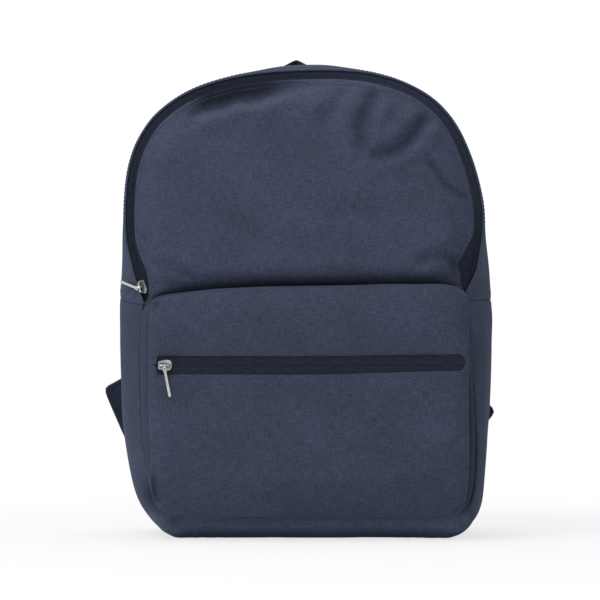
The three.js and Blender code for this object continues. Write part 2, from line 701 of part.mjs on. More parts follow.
// ---- haul loop and strap yoke --------------------------------------------------------------
// arch of webbing flopped back over the top edge of the back
function haulLoop() {
  const STEPS = 18;
  const ROOT = vec(0, BACK_Y + 5.6, 389);
  const lean = degToRad(60); // back from upright
  const up = vec(0, Math.sin(lean), Math.cos(lean));
  const across = vec(0, Math.cos(lean), -Math.sin(lean));
  const xAt = (a) => -7 - 25 * (0.3 * Math.cos(a) + 0.7 * Math.pow(Math.cos(a), 3));
  const riseAt = (a) => 34 * Math.pow(Math.max(1e-6, Math.sin(a)), 1.15);
  const delta = 0.01; // half step for the tangent
  const sections = [];
  for (let i = 0; i <= STEPS; i++) {
    const a = (Math.PI * i) / STEPS;
    const centre = ROOT.clone().addScaledVector(up, riseAt(a) + 0.8);
    centre.x = xAt(a);
    const rise = riseAt(Math.min(Math.PI, a + delta)) - riseAt(Math.max(0, a - delta));
    const tangent = vec(xAt(a + delta) - xAt(a - delta), 0, 0)
      .addScaledVector(up, rise)
      .normalize();
    const facing = tangent.cross(across).normalize();
    const width = 9 + 8 * Math.sqrt(Math.sin(a)); // narrow at the ends, wide at the top
    sections.push(bandSection({ centre, across, facing }, centred(width), centred(WEB_T)));
  }
  return loft(sections);
}

function addHaulAndYoke() {
  const outline = [[-90, 348], [90, 348], [76, 371], [-76, 371]];
  const yoke = flatSlab(outline, BACK_Y + GAP, BACK_Y + GAP + FABRIC);
  add("haul_loop", haulLoop(), FINISH.web);
  add("strap_yoke", yoke, FINISH.heather);
}

// ---- shoulder straps -----------------------------------------------------------------------
// padLine: pad centre line [x, y, z] from the yoke to its lower end
const STRAPS = [
  {
    side: "left",
    lockX: -134,
    lockZ: 92,
    anchorX: -108,
    padLine: [
      [-50, 66.5, 346], [-56, 72, 318], [-62, 77, 286], [-68, 79, 250], [-77, 78, 212],
      [-91, 75, 176.5], [-109, 71.5, 144.5], [-132.5, 69, 119], [-159.3, 68, 103.5],
    ],
  },
  {
    side: "right",
    lockX: 133,
    lockZ: 82,
    anchorX: 116,
    padLine: [
      [50, 66.5, 346], [56, 72, 318], [62, 77, 286], [68, 79, 248], [77, 78, 208],
      [90, 75, 170], [106.5, 71.5, 134.5], [126.5, 69, 107], [148.2, 68, 88],
    ],
  },
];

// frames along a pad; width is kept level with the back panel, and facing points to +Y
function padFrames(padLine) {
  const STEPS = 22;
  const points = padLine.map((p) => vec(...p));
  const curve = new THREE.CatmullRomCurve3(points, false, "centripetal");
  const frames = [];
  for (let i = 0; i <= STEPS; i++) {
    const share = i / STEPS;
    const tangent = curve.getTangent(share);
    const across = vec(0, 1, 0).cross(tangent).normalize();
    const facing = tangent.clone().cross(across).normalize();
    if (facing.y < 0) facing.negate();
    // narrower at the yoke, and slightly drawn in at the lower end
    const yokeScale = 0.86 + 0.14 * smoothstep(share, 0, 0.12);
    const endScale = 1 - 0.06 * smoothstep(share, 0.95, 1);
    const halfWidth = (PAD_W * yokeScale * endScale) / 2;
    frames.push({ centre: curve.getPoint(share), across, facing, halfWidth });
  }
  return frames;
}

function padLayer(frames, facingRange) {
  const SHRINK = 1.6; // leaves room for the edge binding
  const sections = frames.map((frame) => {
    const half = frame.halfWidth - SHRINK;
    return bandSection(frame, [-half, half], facingRange);
  });
  return loft(sections);
}

// one strip down one edge of the pad, round its lower end and up the other edge
function padBinding(frames) {
  const INSET = 0.6;
  const edgeFrame = ({ centre, across, facing, halfWidth }, sign) => ({
    centre: centre.clone().addScaledVector(across, sign * (halfWidth - INSET)),
    across: facing,
    facing: across.clone().multiplyScalar(sign),
  });
  const last = frames.at(-1);
  const tangent = last.centre.clone().sub(frames.at(-2).centre).normalize();
  const round = [];
  for (let k = 1; k < 6; k++) {
    const a = (Math.PI * k) / 6;
    round.push({
      centre: last.centre
        .clone()
        .addScaledVector(last.across, (last.halfWidth - INSET) * Math.cos(a))
        .addScaledVector(tangent, 1.2 + 2 * Math.sin(a)),
      across: last.facing,
      facing: last.across
        .clone()
        .multiplyScalar(Math.cos(a))
        .addScaledVector(tangent, Math.sin(a))
        .normalize(),
    });
  }
  const down = frames.map((frame) => edgeFrame(frame, 1));
  const up = frames.map((frame) => edgeFrame(frame, -1)).reverse();
  return band([...down, ...round, ...up], centred(PAD_T - 0.4), centred(0.9));
}

// rounded frame with three slots, hanging from its top edge at z = 0 with its face towards +Y
function ladderLock() {
  const half = 17;
  const length = 27;
  const thickness = 3;
  const r = 4; // corner radius
  const outline = shapeFrom([
    [-half + r, 0],
    [half - r, 0], [half, 0, half, -r],
    [half, -length + r], [half, -length, half - r, -length],
    [-half + r, -length], [-half, -length, -half, -length + r],
    [-half, -r], [-half, 0, -half + r, 0],
  ]);
  const slot = (yRange) => box([-13.4, 13.4], yRange, [-thickness, thickness]);
  const body = extrude(outline, thickness, 3).translate(0, 0, -thickness / 2);
  const upright = new THREE.Matrix4().makeBasis(vec(1, 0, 0), vec(0, 0, 1), vec(0, -1, 0));
  return cut(body, slot([-8.4, -3.2]), slot([-16.4, -12]), slot([-24, -19.6]))
    .applyMatrix4(upright);
}

const webbing = (frames) => band(frames, centred(WEB_W), centred(WEB_T));

// lower webbing, from the anchor up to the lock
function webbingRun({ lockX, lockZ, anchorX }) {
  const STEPS = 10;
  const points = [
    vec(anchorX, 65.8, 34.5),
    vec(lerp(anchorX, lockX, 0.26), 68.6, 41),
    vec(lerp(anchorX, lockX, 0.8), 73.4, lockZ - 29),
    vec(lockX, 75.2, lockZ - 17),
  ];
  const curve = new THREE.CatmullRomCurve3(points, false, "centripetal");
  const frames = [];
  for (let i = 0; i <= STEPS; i++) {
    const tangent = curve.getTangent(i / STEPS);
    const across = vec(1, 0, 0).addScaledVector(tangent, -tangent.x).normalize();
    const facing = tangent.clone().cross(across).normalize();
    frames.push({ centre: curve.getPoint(i / STEPS), across, facing });
  }
  return webbing(frames);
}

// free tail below the lock, on its outer side, bowed away from the back
function webbingTail({ lockX, lockZ }) {
  const STEPS = 8;
  const DROP = 52;
  const BOW = 3;
  const x = lockX - Math.sign(lockX) * 1.5;
  const across = vec(1, 0, 0);
  const frames = [];
  for (let i = 0; i <= STEPS; i++) {
    const a = (Math.PI * i) / STEPS;
    const centre = vec(x, 83.4 + BOW * Math.sin(a), lockZ - 21 - (DROP * i) / STEPS);
    const facing = vec(0, BOW * Math.PI * Math.cos(a), -DROP).cross(across).normalize();
    frames.push({ centre, across, facing });
  }
  return webbing(frames);
}

// tapered patch at the bottom corner of the back
function strapAnchor({ anchorX: x }) {
  const outline = [[x - 10, 16], [x + 10, 16], [x + 14, 30], [x - 14, 30]];
  return flatSlab(outline, BACK_Y + GAP, BACK_Y + GAP + FABRIC + 1);
}

function addStrap(strap) {
  const { side, lockX, lockZ, padLine } = strap;
  const half = PAD_T / 2;
  const frames = padFrames(padLine);
  // short webbing tab on the pad's outer face, above the lock
  const tab = box([lockX - 12, lockX + 12], [75.6, 77], [lockZ + 0.2, lockZ + 25]);
  const lock = ladderLock().translate(lockX, 79, lockZ - 0.4);
  add("strap_foam_" + side, padLayer(frames, [-half + 1.3, half - 1.3]), FINISH.foam);
  add("strap_face_" + side, padLayer(frames, [half - 1, half]), FINISH.heather);
  add("strap_mesh_" + side, padLayer(frames, [-half, -half + 1]), FINISH.mesh);
  add("strap_binding_" + side, padBinding(frames), FINISH.tape);
  add("lock_tab_" + side, tab, FINISH.web);
  add("ladder_lock_" + side, lock, FINISH.plastic);
  add("webbing_run_" + side, webbingRun(strap), FINISH.web);
  add("webbing_tail_" + side, webbingTail(strap), FINISH.web);
  add("strap_anchor_" + side, strapAnchor(strap), FINISH.heather);
}

// ---- assembly ------------------------------------------------------------------------------
addGussets();
addBack();
addLinings();
add("front_wall", frontWall(), FINISH.heather);
addSleeve();
addMainZip();
addFlap();
addPocket();
addPocketSlider();
addMainSlider();
addHaulAndYoke();
STRAPS.forEach(addStrap);

export default model;
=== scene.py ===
# Backpack, 400 mm tall, standing on z = 0. Its front and pocket face -y, its back panel and
# shoulder straps face +y. Left is -x and right is +x, as seen from the front.
# Shapes are worked out in millimetres and become metres when a mesh is made. Most pieces of
# cloth are grids of points: u runs along the first axis, v along the second.
import math

import bmesh
import bpy
import numpy as np
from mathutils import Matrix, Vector


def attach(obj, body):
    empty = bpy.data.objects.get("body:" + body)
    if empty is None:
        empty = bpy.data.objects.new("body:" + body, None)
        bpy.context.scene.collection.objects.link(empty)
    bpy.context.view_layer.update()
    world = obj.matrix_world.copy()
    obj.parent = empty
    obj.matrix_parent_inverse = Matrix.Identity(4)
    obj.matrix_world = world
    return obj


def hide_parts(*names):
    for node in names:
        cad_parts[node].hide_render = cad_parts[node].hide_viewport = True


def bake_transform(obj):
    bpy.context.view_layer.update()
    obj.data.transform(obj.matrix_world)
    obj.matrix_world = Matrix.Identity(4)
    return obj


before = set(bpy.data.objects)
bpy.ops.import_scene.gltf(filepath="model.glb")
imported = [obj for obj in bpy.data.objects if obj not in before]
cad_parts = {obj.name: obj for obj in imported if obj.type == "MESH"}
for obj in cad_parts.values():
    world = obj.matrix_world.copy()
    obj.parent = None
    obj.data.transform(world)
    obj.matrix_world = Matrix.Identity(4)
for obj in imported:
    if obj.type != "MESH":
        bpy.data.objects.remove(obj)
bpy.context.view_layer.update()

MM = 0.001
BACK_Y, FRONT_Y = 58.0, -58.0
LEAN, LEAN_Z = math.tan(math.radians(4)), 200.0  # the front leans back above LEAN_Z
TILT = math.radians(38)  # tilt of the main zip's tapes
HINGE_Z = 222.0  # where the front flap folds down
POCKET_Y = -80.0
POCKET_TAPE_Y = POCKET_Y + 1.4  # outer face of the pocket tapes
ZIP_Z = 147.0  # pocket zip
BACK_INSET = 9.0  # how far the back seam lies inside the outline
SLEEVE_HALF, SLEEVE_SAG = 124, 2.2

# Outline of the body, clockwise seen from the front: x, z
OUTLINE = [
    (5, 0), (-40, 0), (-85, 0), (-107, 0.3), (-120, 3.6), (-131, 13), (-138.6, 24), (-144, 36),
    (-149, 56), (-152.6, 76), (-155, 100), (-156.6, 133), (-157.8, 167), (-157.8, 200),
    (-156.6, 225), (-155.2, 250), (-153.4, 275), (-151, 300), (-147.2, 321), (-140.4, 338),
    (-129.8, 354.4), (-111, 371.4), (-96, 380), (-73, 388.4), (-50, 394.4), (-25, 398.4),
    (2, 400), (28, 399.6), (54, 395.4), (76, 388.6), (94, 380), (108, 371), (123, 355),
    (133, 337.6), (140.6, 320.6), (146, 303), (150.4, 284), (153.2, 262), (156.4, 237),
    (158.4, 205), (158.6, 165), (158, 125), (156, 90), (154.4, 60), (151.8, 37), (147.4, 20.6),
    (138, 8.6), (125, 1.6), (110, 0), (60, 0),
]
# Main zip's chain, from its left foot over the top to its right foot: x, z
ZIP_LINE = [
    (-133.7, 201.5), (-137.6, 218.5), (-141.5, 235.5), (-145.4, 252.5), (-146.3, 269.5),
    (-146, 286.5), (-144.6, 303.5), (-141.6, 318.5), (-135.6, 334.4), (-125.4, 350.4),
    (-111.8, 363), (-95.6, 373), (-76, 380.6), (-54.8, 385.9), (-33.6, 389), (-12.3, 390.6),
    (8.9, 391.2), (30.2, 391), (51.4, 389), (72.7, 384), (91.4, 376.2), (106.7, 366.2),
    (118.6, 353.6), (127.2, 340), (133.9, 325), (139, 310), (143, 294), (145.6, 277),
    (145.4, 259.3), (142.9, 241), (140.3, 222.5), (137.7, 204),
]
# Lower front seam, from the left cross seam under the pocket to the right one: x, z
SEAM_LOW = [
    (-137, 197.4), (-138.8, 172), (-139.7, 146), (-139, 116), (-137.3, 91), (-134.7, 66),
    (-130, 45), (-121.5, 29.5), (-109, 20.5), (-88, 16.8), (-45, 16), (0, 16), (45, 16),
    (88, 16), (113, 16.4), (128, 19.6), (138.4, 29), (143.2, 44), (145, 68), (145, 92),
    (143.8, 112), (141.6, 149), (139, 176), (137.8, 201),
]
# Outline of the pocket's face, clockwise seen from the front: x, z
POCKET_FACE = [
    (-129.6, 194), (-127, 201.5), (-120, 205.8), (-90, 209.6), (-45, 212.6), (0, 214),
    (45, 214.4), (90, 214.6), (118, 214.2), (129, 211.4), (135.6, 204.6), (138, 195),
    (138.4, 160), (138.4, 120), (138.2, 80), (137, 48), (134.4, 32), (126, 24), (112, 20.8),
    (70, 19.4), (0, 19), (-70, 19.6), (-98, 19.8), (-114, 21.5), (-123, 27.0), (-127.4, 40),
    (-129, 70), (-130.4, 110), (-130.6, 160),
]


# ------------------------------------------------------------------ curves
def ease(t):
    """Smooth step from 0 to 1."""
    t = np.clip(t, 0.0, 1.0)
    return t * t * (3 - 2 * t)


def bell(t):
    return np.exp(-(t**2))


def unit(v):
    return v / (np.linalg.norm(v, axis=-1, keepdims=True) + 1e-12)


def tangents(path):
    return unit(np.gradient(path, axis=0))


def at_y(xz, y=0.0):
    """Front-view points or directions (x, z) as (x, y, z)."""
    return np.stack([xz[..., 0], np.broadcast_to(y, xz.shape[:-1]), xz[..., 1]], -1)


def arc(path):
    """Length along a path at each of its points."""
    steps = np.linalg.norm(np.diff(path, axis=0), axis=1)
    return np.concatenate([[0], np.cumsum(steps)])


def interp_rows(at, stations, rows):
    return np.stack([np.interp(at, stations, rows[:, k]) for k in range(rows.shape[1])], 1)


def resample(path, n, closed=False):
    path = np.asarray(path, float)
    if closed:
        path = np.vstack([path, path[:1]])
    s = arc(path)
    out = interp_rows(np.linspace(0, s[-1], n + 1 if closed else n), s, path)
    return out[:-1] if closed else out


def curve(points, n, closed=False):
    """Centripetal Catmull-Rom curve through the points, as n even points."""
    P = np.asarray(points, float)
    if closed:
        Q = np.vstack([P[-1:], P, P[:2]])
    else:
        Q = np.vstack([2 * P[0] - P[1], P, 2 * P[-1] - P[-2]])

    def between(u, start, end, a, b):
        return (end - u) / (end - start) * a + (u - start) / (end - start) * b

    out = []
    per_span = max(6, int(4 * n / (len(Q) - 3)) + 1)
    for i in range(len(Q) - 3):
        p0, p1, p2, p3 = Q[i : i + 4]
        t1 = max(np.linalg.norm(p1 - p0), 1e-6) ** 0.5
        t2 = t1 + max(np.linalg.norm(p2 - p1), 1e-6) ** 0.5
        t3 = t2 + max(np.linalg.norm(p3 - p2), 1e-6) ** 0.5
        u = np.linspace(t1, t2, per_span, endpoint=False)[:, None]
        a1 = between(u, 0, t1, p0, p1)
        a2 = between(u, t1, t2, p1, p2)
        a3 = between(u, t2, t3, p2, p3)
        b1 = between(u, 0, t2, a1, a2)
        b2 = between(u, t1, t3, a2, a3)
        out.append(between(u, t1, t2, b1, b2))
    out = np.vstack(out)
    if not closed:
        out = np.vstack([out, P[-1:]])
    return resample(out, n, closed)


def side_normals(path, closed=False):
    """Outward normal of a run that goes clockwise seen from the front."""
    if closed:
        t = unit(np.roll(path, -1, 0) - np.roll(path, 1, 0))
    else:
        t = tangents(path)
    return np.stack([-t[:, 1], t[:, 0]], 1)


def nearest(points, run, closed=True):
    """Nearest places on a run: point, distance, segment, share of that segment."""
    start = run if closed else run[:-1]
    end = np.roll(run, -1, 0) if closed else run[1:]
    ab = end - start
    along = ((points[:, None, :] - start[None]) * ab[None]).sum(-1)
    t = np.clip(along / ((ab**2).sum(-1)[None] + 1e-12), 0, 1)
    places = start[None] + ab[None] * t[..., None]
    d = np.linalg.norm(places - points[:, None, :], axis=-1)
    k = d.argmin(1)
    rows = np.arange(len(points))
    return places[rows, k], d[rows, k], k, t[rows, k]


def on_ring(points):
    """Nearest points on the body's outline, with its outward normals there."""
    places, _, k, t = nearest(points, RING)
    n = RING_OUT[k] * (1 - t[:, None]) + np.roll(RING_OUT, -1, 0)[k] * t[:, None]
    return places, n / np.linalg.norm(n, axis=1, keepdims=True)


def grid_distance(grid, run, closed=True):
    """Distance of each (x, z) point of a grid from a run."""
    return nearest(grid.reshape(-1, 2), run, closed)[1].reshape(grid.shape[:2])


def front_y(z):
    return FRONT_Y + np.maximum(0, z - LEAN_Z) * LEAN


# ------------------------------------------------------------------ grids
def grid_normals(P, closed=False):
    if closed:
        du = np.roll(P, -1, 0) - np.roll(P, 1, 0)
    else:
        du = np.gradient(P, axis=0)
    return unit(np.cross(du, np.gradient(P, axis=1)))


def facing_normals(P, out):
    """Grid normals, turned as a whole to agree with the out direction(s)."""
    n = grid_normals(P)
    return n * np.sign((n * np.asarray(out)).sum(-1).mean())


def oriented(P, out, closed=False):
    """The grid, turned so that its normals agree with out, and whether it was turned."""
    n = grid_normals(P, closed)
    if (n * np.asarray(out, float)).sum(-1).mean() < 0:
        return P[:, ::-1], True
    return P, False


def noise2(shape, cells, seed, octaves=1):
    """Smooth value noise on a grid, about -1 to 1."""
    rng = np.random.default_rng(seed)
    total = np.zeros(shape)
    amp, norm = 1.0, 0.0
    cu, cv = cells

    def weights(f):  # cubic B-spline
        return np.stack(
            [(1 - f) ** 3, 3 * f**3 - 6 * f**2 + 4, -3 * f**3 + 3 * f**2 + 3 * f + 1, f**3], 0
        ) / 6

    for _ in range(octaves):
        g = rng.uniform(-1, 1, (int(cu) + 4, int(cv) + 4))
        u = np.linspace(0, cu, shape[0])
        v = np.linspace(0, cv, shape[1])
        iu, iv = u.astype(int), v.astype(int)
        wu, wv = weights(u - iu), weights(v - iv)
        s = np.zeros(shape)
        for a in range(4):
            for b in range(4):
                s += wu[a][:, None] * wv[b][None] * g[np.ix_(iu + a, iv + b)]
        total += s * amp * 2.2
        norm += amp
        amp *= 0.5
        cu, cv = cu * 2, cv * 2
    return total / norm


SHEAR, BEND = 0.35, 0.25  # stiffness of the cloth's diagonal and two-step links
JITTER = 0.25  # random start offsets, so that folds can form
DRAG = 0.96
PASSES = 3  # constraint passes per step


def relax(P, pin, slack_u, slack_v, pressure, steps, cap, seed):
    """Cloth on a grid, by position-based dynamics: pinned points hold, the rest swells under
    pressure with a share of slack along each direction, so it gathers and creases on its own.
    cap is the furthest any point may move."""
    P = np.asarray(P, np.float32)
    nu, nv = P.shape[:2]
    free = np.where(pin, 0.0, 1.0).astype(np.float32)
    free3 = free[..., None]
    rng = np.random.default_rng(seed)
    start = rng.normal(0, JITTER, (nu, nv, 1)).astype(np.float32)
    p = P + grid_normals(P).astype(np.float32) * (start * free3)
    previous = p.copy()
    slack_u = np.broadcast_to(np.asarray(slack_u, np.float32), (nu, nv))
    slack_v = np.broadcast_to(np.asarray(slack_v, np.float32), (nu, nv))
    links = []

    def link(a, b, slack, stretch, squeeze):
        rest = np.linalg.norm(P[b] - P[a], axis=-1) * (1 + 0.5 * (slack[a] + slack[b]))
        wa, wb = free[a], free[b]
        links.append((a, b, rest.astype(np.float32), wa, wb, wa + wb + 1e-9, stretch, squeeze))

    full = slice(None)
    for g in range(2):
        link((slice(g, nu - 1, 2), full), (slice(g + 1, nu, 2), full), slack_u, 1.0, 0.45)
        link((full, slice(g, nv - 1, 2)), (full, slice(g + 1, nv, 2)), slack_v, 1.0, 0.45)
    slack_d = 0.5 * (slack_u + slack_v)
    lower, upper = slice(0, nv - 1), slice(1, nv)
    for g in range(2):
        even, odd = slice(g, nu - 1, 2), slice(g + 1, nu, 2)
        link((even, lower), (odd, upper), slack_d, SHEAR, SHEAR * 0.6)
        link((even, upper), (odd, lower), slack_d, SHEAR, SHEAR * 0.6)
    for g in range(4):
        link((slice(g, nu - 2, 4), full), (slice(g + 2, nu, 4), full), slack_u, BEND * 0.3, BEND)
        link((full, slice(g, nv - 2, 4)), (full, slice(g + 2, nv, 4)), slack_v, BEND * 0.3, BEND)
    for _ in range(steps):
        n = grid_normals(p).astype(np.float32)
        v = (p - previous) * DRAG
        previous = p.copy()
        p = p + (v + n * pressure) * free3
        for _ in range(PASSES):
            for a, b, rest, wa, wb, ws, stretch, squeeze in links:
                d = p[b] - p[a]
                length = np.sqrt((d * d).sum(-1)) + 1e-9
                e = length - rest
                k = np.where(e > 0, stretch, squeeze)
                c = d * (e * k / (length * ws))[..., None]
                p[a] += c * wa[..., None]
                p[b] -= c * wb[..., None]
    d = (p - P).astype(float)
    length = np.linalg.norm(d, axis=-1, keepdims=True)
    d *= np.minimum(1, cap / np.maximum(length, 1e-9))
    # one light smoothing pass so that no crease is sharper than cloth
    s = d.copy()
    s[1:-1, 1:-1] = 0.5 * d[1:-1, 1:-1] + 0.125 * neighbours(d)
    s[pin] = 0
    return np.asarray(P, float) + s


def neighbours(d):
    """Sum of the four neighbours of each inner grid point."""
    return d[:-2, 1:-1] + d[2:, 1:-1] + d[1:-1, :-2] + d[1:-1, 2:]


def spacing(length, step, edge=(0, 0.7, 1.7, 3.2, 5.2), close_start=True):
    """Grid stations as shares of a length: close together at the rolled edges."""
    a = list(edge) if close_start else [0.0]
    b = [length - e for e in edge][::-1]
    n = max(2, int(round((b[0] - a[-1]) / step)))
    mid = np.linspace(a[-1], b[0], n + 1)[1:-1]
    return np.array(a + list(mid) + b) / length


def at_share(path, share):
    s = arc(path)
    return interp_rows(np.asarray(share) * s[-1], s, path)


def coons(left, right, bottom, top, tu, tv):
    """Patch between four edges. left and right run up, bottom and top run left to right."""
    L, R = at_share(left, tv), at_share(right, tv)
    B, T = at_share(bottom, tu), at_share(top, tu)
    u, v = tu[:, None, None], tv[None, :, None]
    corners = (1 - u) * (1 - v) * B[0] + u * (1 - v) * B[-1] + (1 - u) * v * T[0] + u * v * T[-1]
    return (1 - u) * L[None] + u * R[None] + (1 - v) * B[:, None] + v * T[:, None] - corners


def run_between(loop, i, j):
    """Points of a closed run from index i forward to index j."""
    n = len(loop)
    return loop[[(i + a) % n for a in range((j - i) % n + 1)]]


def index_near(loop, p):
    return int(np.linalg.norm(loop - np.array(p), axis=1).argmin())


def loop_patch(loop, bottom_left, top_left, top_right, bottom_right, tu, tv):
    """Patch inside a clockwise loop, between four of its point indices."""
    return coons(
        run_between(loop, bottom_left, top_left),
        run_between(loop, top_right, bottom_right)[::-1],
        run_between(loop, bottom_right, bottom_left)[::-1],
        run_between(loop, top_left, top_right),
        tu,
        tv,
    )


# ------------------------------------------------------------------ meshes
COLLECTION = bpy.context.scene.collection


def link_object(name, data):
    o = bpy.data.objects.new(name, data)
    COLLECTION.objects.link(o)
    return o


def new_object(name, verts, faces, mat, corner_uv=None, fold=None):
    me = bpy.data.meshes.new(name)
    me.from_pydata((np.asarray(verts) * MM).tolist(), [], faces)
    if corner_uv is not None:
        layer = me.uv_layers.new(name="UVMap")
        layer.data.foreach_set("uv", np.asarray(corner_uv * MM, np.float32).ravel())
    # painted shade per point, kept as a mesh attribute for the materials
    if fold is not None:
        layer = me.attributes.new("fold", "FLOAT", "POINT")
        layer.data.foreach_set("value", np.asarray(fold, np.float32).ravel())
    me.validate()
    me.polygons.foreach_set("use_smooth", [True] * len(me.polygons))
    me.materials.append(mat)
    return link_object(name, me)


def sheet(name, P, out, mat, thick=1.1, uv=None, closed=False, levels=1, sharp=60, fold=None,
          fold_min=-0.7):
    """A closed piece of cloth from a grid of points on its outer face. Painted shade per point may
    be given: it darkens the cloth where shade falls in folds and seams, and paints it lighter below
    0."""
    P, flipped = oriented(P, out, closed)
    if fold is not None:
        fold = np.clip(fold[:, ::-1] if flipped else fold, fold_min, 0.97)
    if uv is not None and flipped:
        uv = uv[:, ::-1]
    nu, nv = P.shape[:2]
    if uv is None:
        du = np.linalg.norm(np.diff(P, axis=0), axis=-1).mean(1)
        dv = np.linalg.norm(np.diff(P, axis=1), axis=-1).mean(0)
        uu = np.concatenate([[0], np.cumsum(du)])
        vv = np.concatenate([[0], np.cumsum(dv)])
        uv = np.stack(np.broadcast_arrays(uu[:, None], vv[None]), -1)
    index = np.arange(nu * nv).reshape(nu, nv)
    a = index if closed else index[:-1]
    b = np.roll(index, -1, 0) if closed else index[1:]
    faces = np.stack([a[:, :-1], b[:, :-1], b[:, 1:], a[:, 1:]], -1)
    corner_uv = uv.reshape(-1, 2)[faces]
    if closed:  # the closing faces carry the UVs on instead of jumping back to 0
        corner_uv[-1, :, 1:3, 0] = uv[-1, 0, 0] + np.linalg.norm(P[0] - P[-1], axis=-1).mean()
    o = new_object(name, P.reshape(-1, 3), faces.reshape(-1, 4).tolist(), mat, corner_uv, fold)
    if levels:
        m = o.modifiers.new("s", "SUBSURF")
        m.levels = m.render_levels = levels
        m.boundary_smooth = "PRESERVE_CORNERS"
    m = o.modifiers.new("t", "SOLIDIFY")
    m.thickness = thick * MM
    m.offset = -1
    depsgraph = bpy.context.evaluated_depsgraph_get()
    applied = bpy.data.meshes.new_from_object(
        o.evaluated_get(depsgraph), preserve_all_data_layers=True, depsgraph=depsgraph
    )
    o.modifiers.clear()
    o.data = applied
    applied.set_sharp_from_angle(angle=math.radians(sharp))
    return o


def sweep(name, path, U, V, section, mat, closed=False, sharp=50):
    """A solid swept along a path; section is a loop of (u, v) offsets along U and V."""
    U, V = np.broadcast_to(U, path.shape), np.broadcast_to(V, path.shape)
    sec = np.asarray(section, float)
    n, k = len(path), len(sec)
    P = path[:, None] + U[:, None] * sec[None, :, :1] + V[:, None] * sec[None, :, 1:]
    index = np.arange(n * k).reshape(n, k)
    a = index if closed else index[:-1]
    b = np.roll(index, -1, 0) if closed else index[1:]
    quads = np.stack([a, b, np.roll(b, -1, 1), np.roll(a, -1, 1)], -1)
    faces = quads.reshape(-1, 4).tolist()
    if not closed:
        faces += [index[0][::-1].tolist(), index[-1].tolist()]
    uv = np.stack(np.broadcast_arrays(sec[None, :, 0], arc(path)[:, None]), -1).reshape(-1, 2)
    o = new_object(name, P.reshape(-1, 3), faces, mat, uv[[i for f in faces for i in f]])
    bm = bmesh.new()
    bm.from_mesh(o.data)
    bmesh.ops.recalc_face_normals(bm, faces=bm.faces)
    bm.to_mesh(o.data)
    bm.free()
    if sharp:
        o.data.set_sharp_from_angle(angle=math.radians(sharp))
    return o


def circle(radius, n):
    angles = np.linspace(0, 2 * math.pi, n + 1)[:-1]
    return [(radius * math.cos(a), radius * math.sin(a)) for a in angles]


def rounded_rect(w, t, r):
    x, y = w / 2 - r, t / 2 - r
    out = []
    for cx, cy, start in ((x, y, 0), (-x, y, 90), (-x, -y, 180), (x, -y, 270)):
        for turn in (0, 45, 90):
            a = math.radians(start + turn)
            out.append((cx + r * math.cos(a), cy + r * math.sin(a)))
    return out


def web_section(w, t, ribs=11):
    """Ribbed webbing: shallow lengthwise ribs on both faces and rounded selvedges."""
    top = []
    n = ribs * 4
    for i in range(n + 1):
        x = w / 2 - w * i / n
        e = min(1.0, (w / 2 - abs(x)) / 0.9)
        rib = 0.13 * math.cos(2 * math.pi * ribs * i / n) * e
        top.append((x, t / 2 * math.sqrt(max(0.05, 1 - (1 - e) ** 2)) + rib))
    return top + [(-x, -y) for x, y in top]


# Along one stitch: share of its length, thickness, height above the cloth
STITCH_SHARE = np.array([-0.10, 0.12, 0.5, 0.88, 1.10])
STITCH_RADIUS = np.array([0.25, 0.85, 1.0, 0.85, 0.25]) * 0.27
STITCH_HEIGHT = (-0.45, 0.0, 0.12, 0.0, -0.45)
STITCH_SIDES = 6
stitches = {"shell": [], "strap_left": [], "strap_right": [], "flap": []}


def sew(body, path, normals, pitch=3.5, length=2.7):
    """A row of separate sewn stitches lying on a path."""
    normals = np.broadcast_to(normals, path.shape)
    s = arc(path)
    K = STITCH_SIDES
    verts, faces = [], []
    for i in range(int((s[-1] - length) / pitch)):
        q = i * pitch + 0.5 + STITCH_SHARE * length
        points = interp_rows(q, s, path)
        up = unit(interp_rows(q, s, normals))
        side = np.cross(tangents(points), up)
        base = len(verts)
        for j, (r, height) in enumerate(zip(STITCH_RADIUS, STITCH_HEIGHT)):
            for a in range(K):
                angle = 2 * math.pi * a / K
                rise = up[j] * (height + r * math.sin(angle))
                verts.append(points[j] + rise + side[j] * r * math.cos(angle))
        for j in range(4):
            for a in range(K):
                p, q2 = base + j * K + a, base + j * K + (a + 1) % K
                faces.append((p, p + K, q2 + K, q2))
        faces.append([base + a for a in range(K)])
        faces.append([base + 4 * K + a for a in range(K)][::-1])
    stitches[body].append(new_object("stitches", verts, faces, M_THREAD))


def sew_grid(body, P, out, where):
    """Stitches along the points of a grid picked out by an index."""
    sew(body, P[where], facing_normals(P, out)[where])


def merge(name, pieces, mat):
    bm = bmesh.new()
    for piece in pieces:
        bm.from_mesh(piece.data)
        bpy.data.objects.remove(piece)
    me = bpy.data.meshes.new(name)
    bm.to_mesh(me)
    bm.free()
    me.materials.append(mat)
    return link_object(name, me)


def mount(o, body, slot, *nodes):
    if isinstance(body, tuple):
        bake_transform(o)
    else:
        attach(o, body)
    if nodes:
        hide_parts(*nodes)


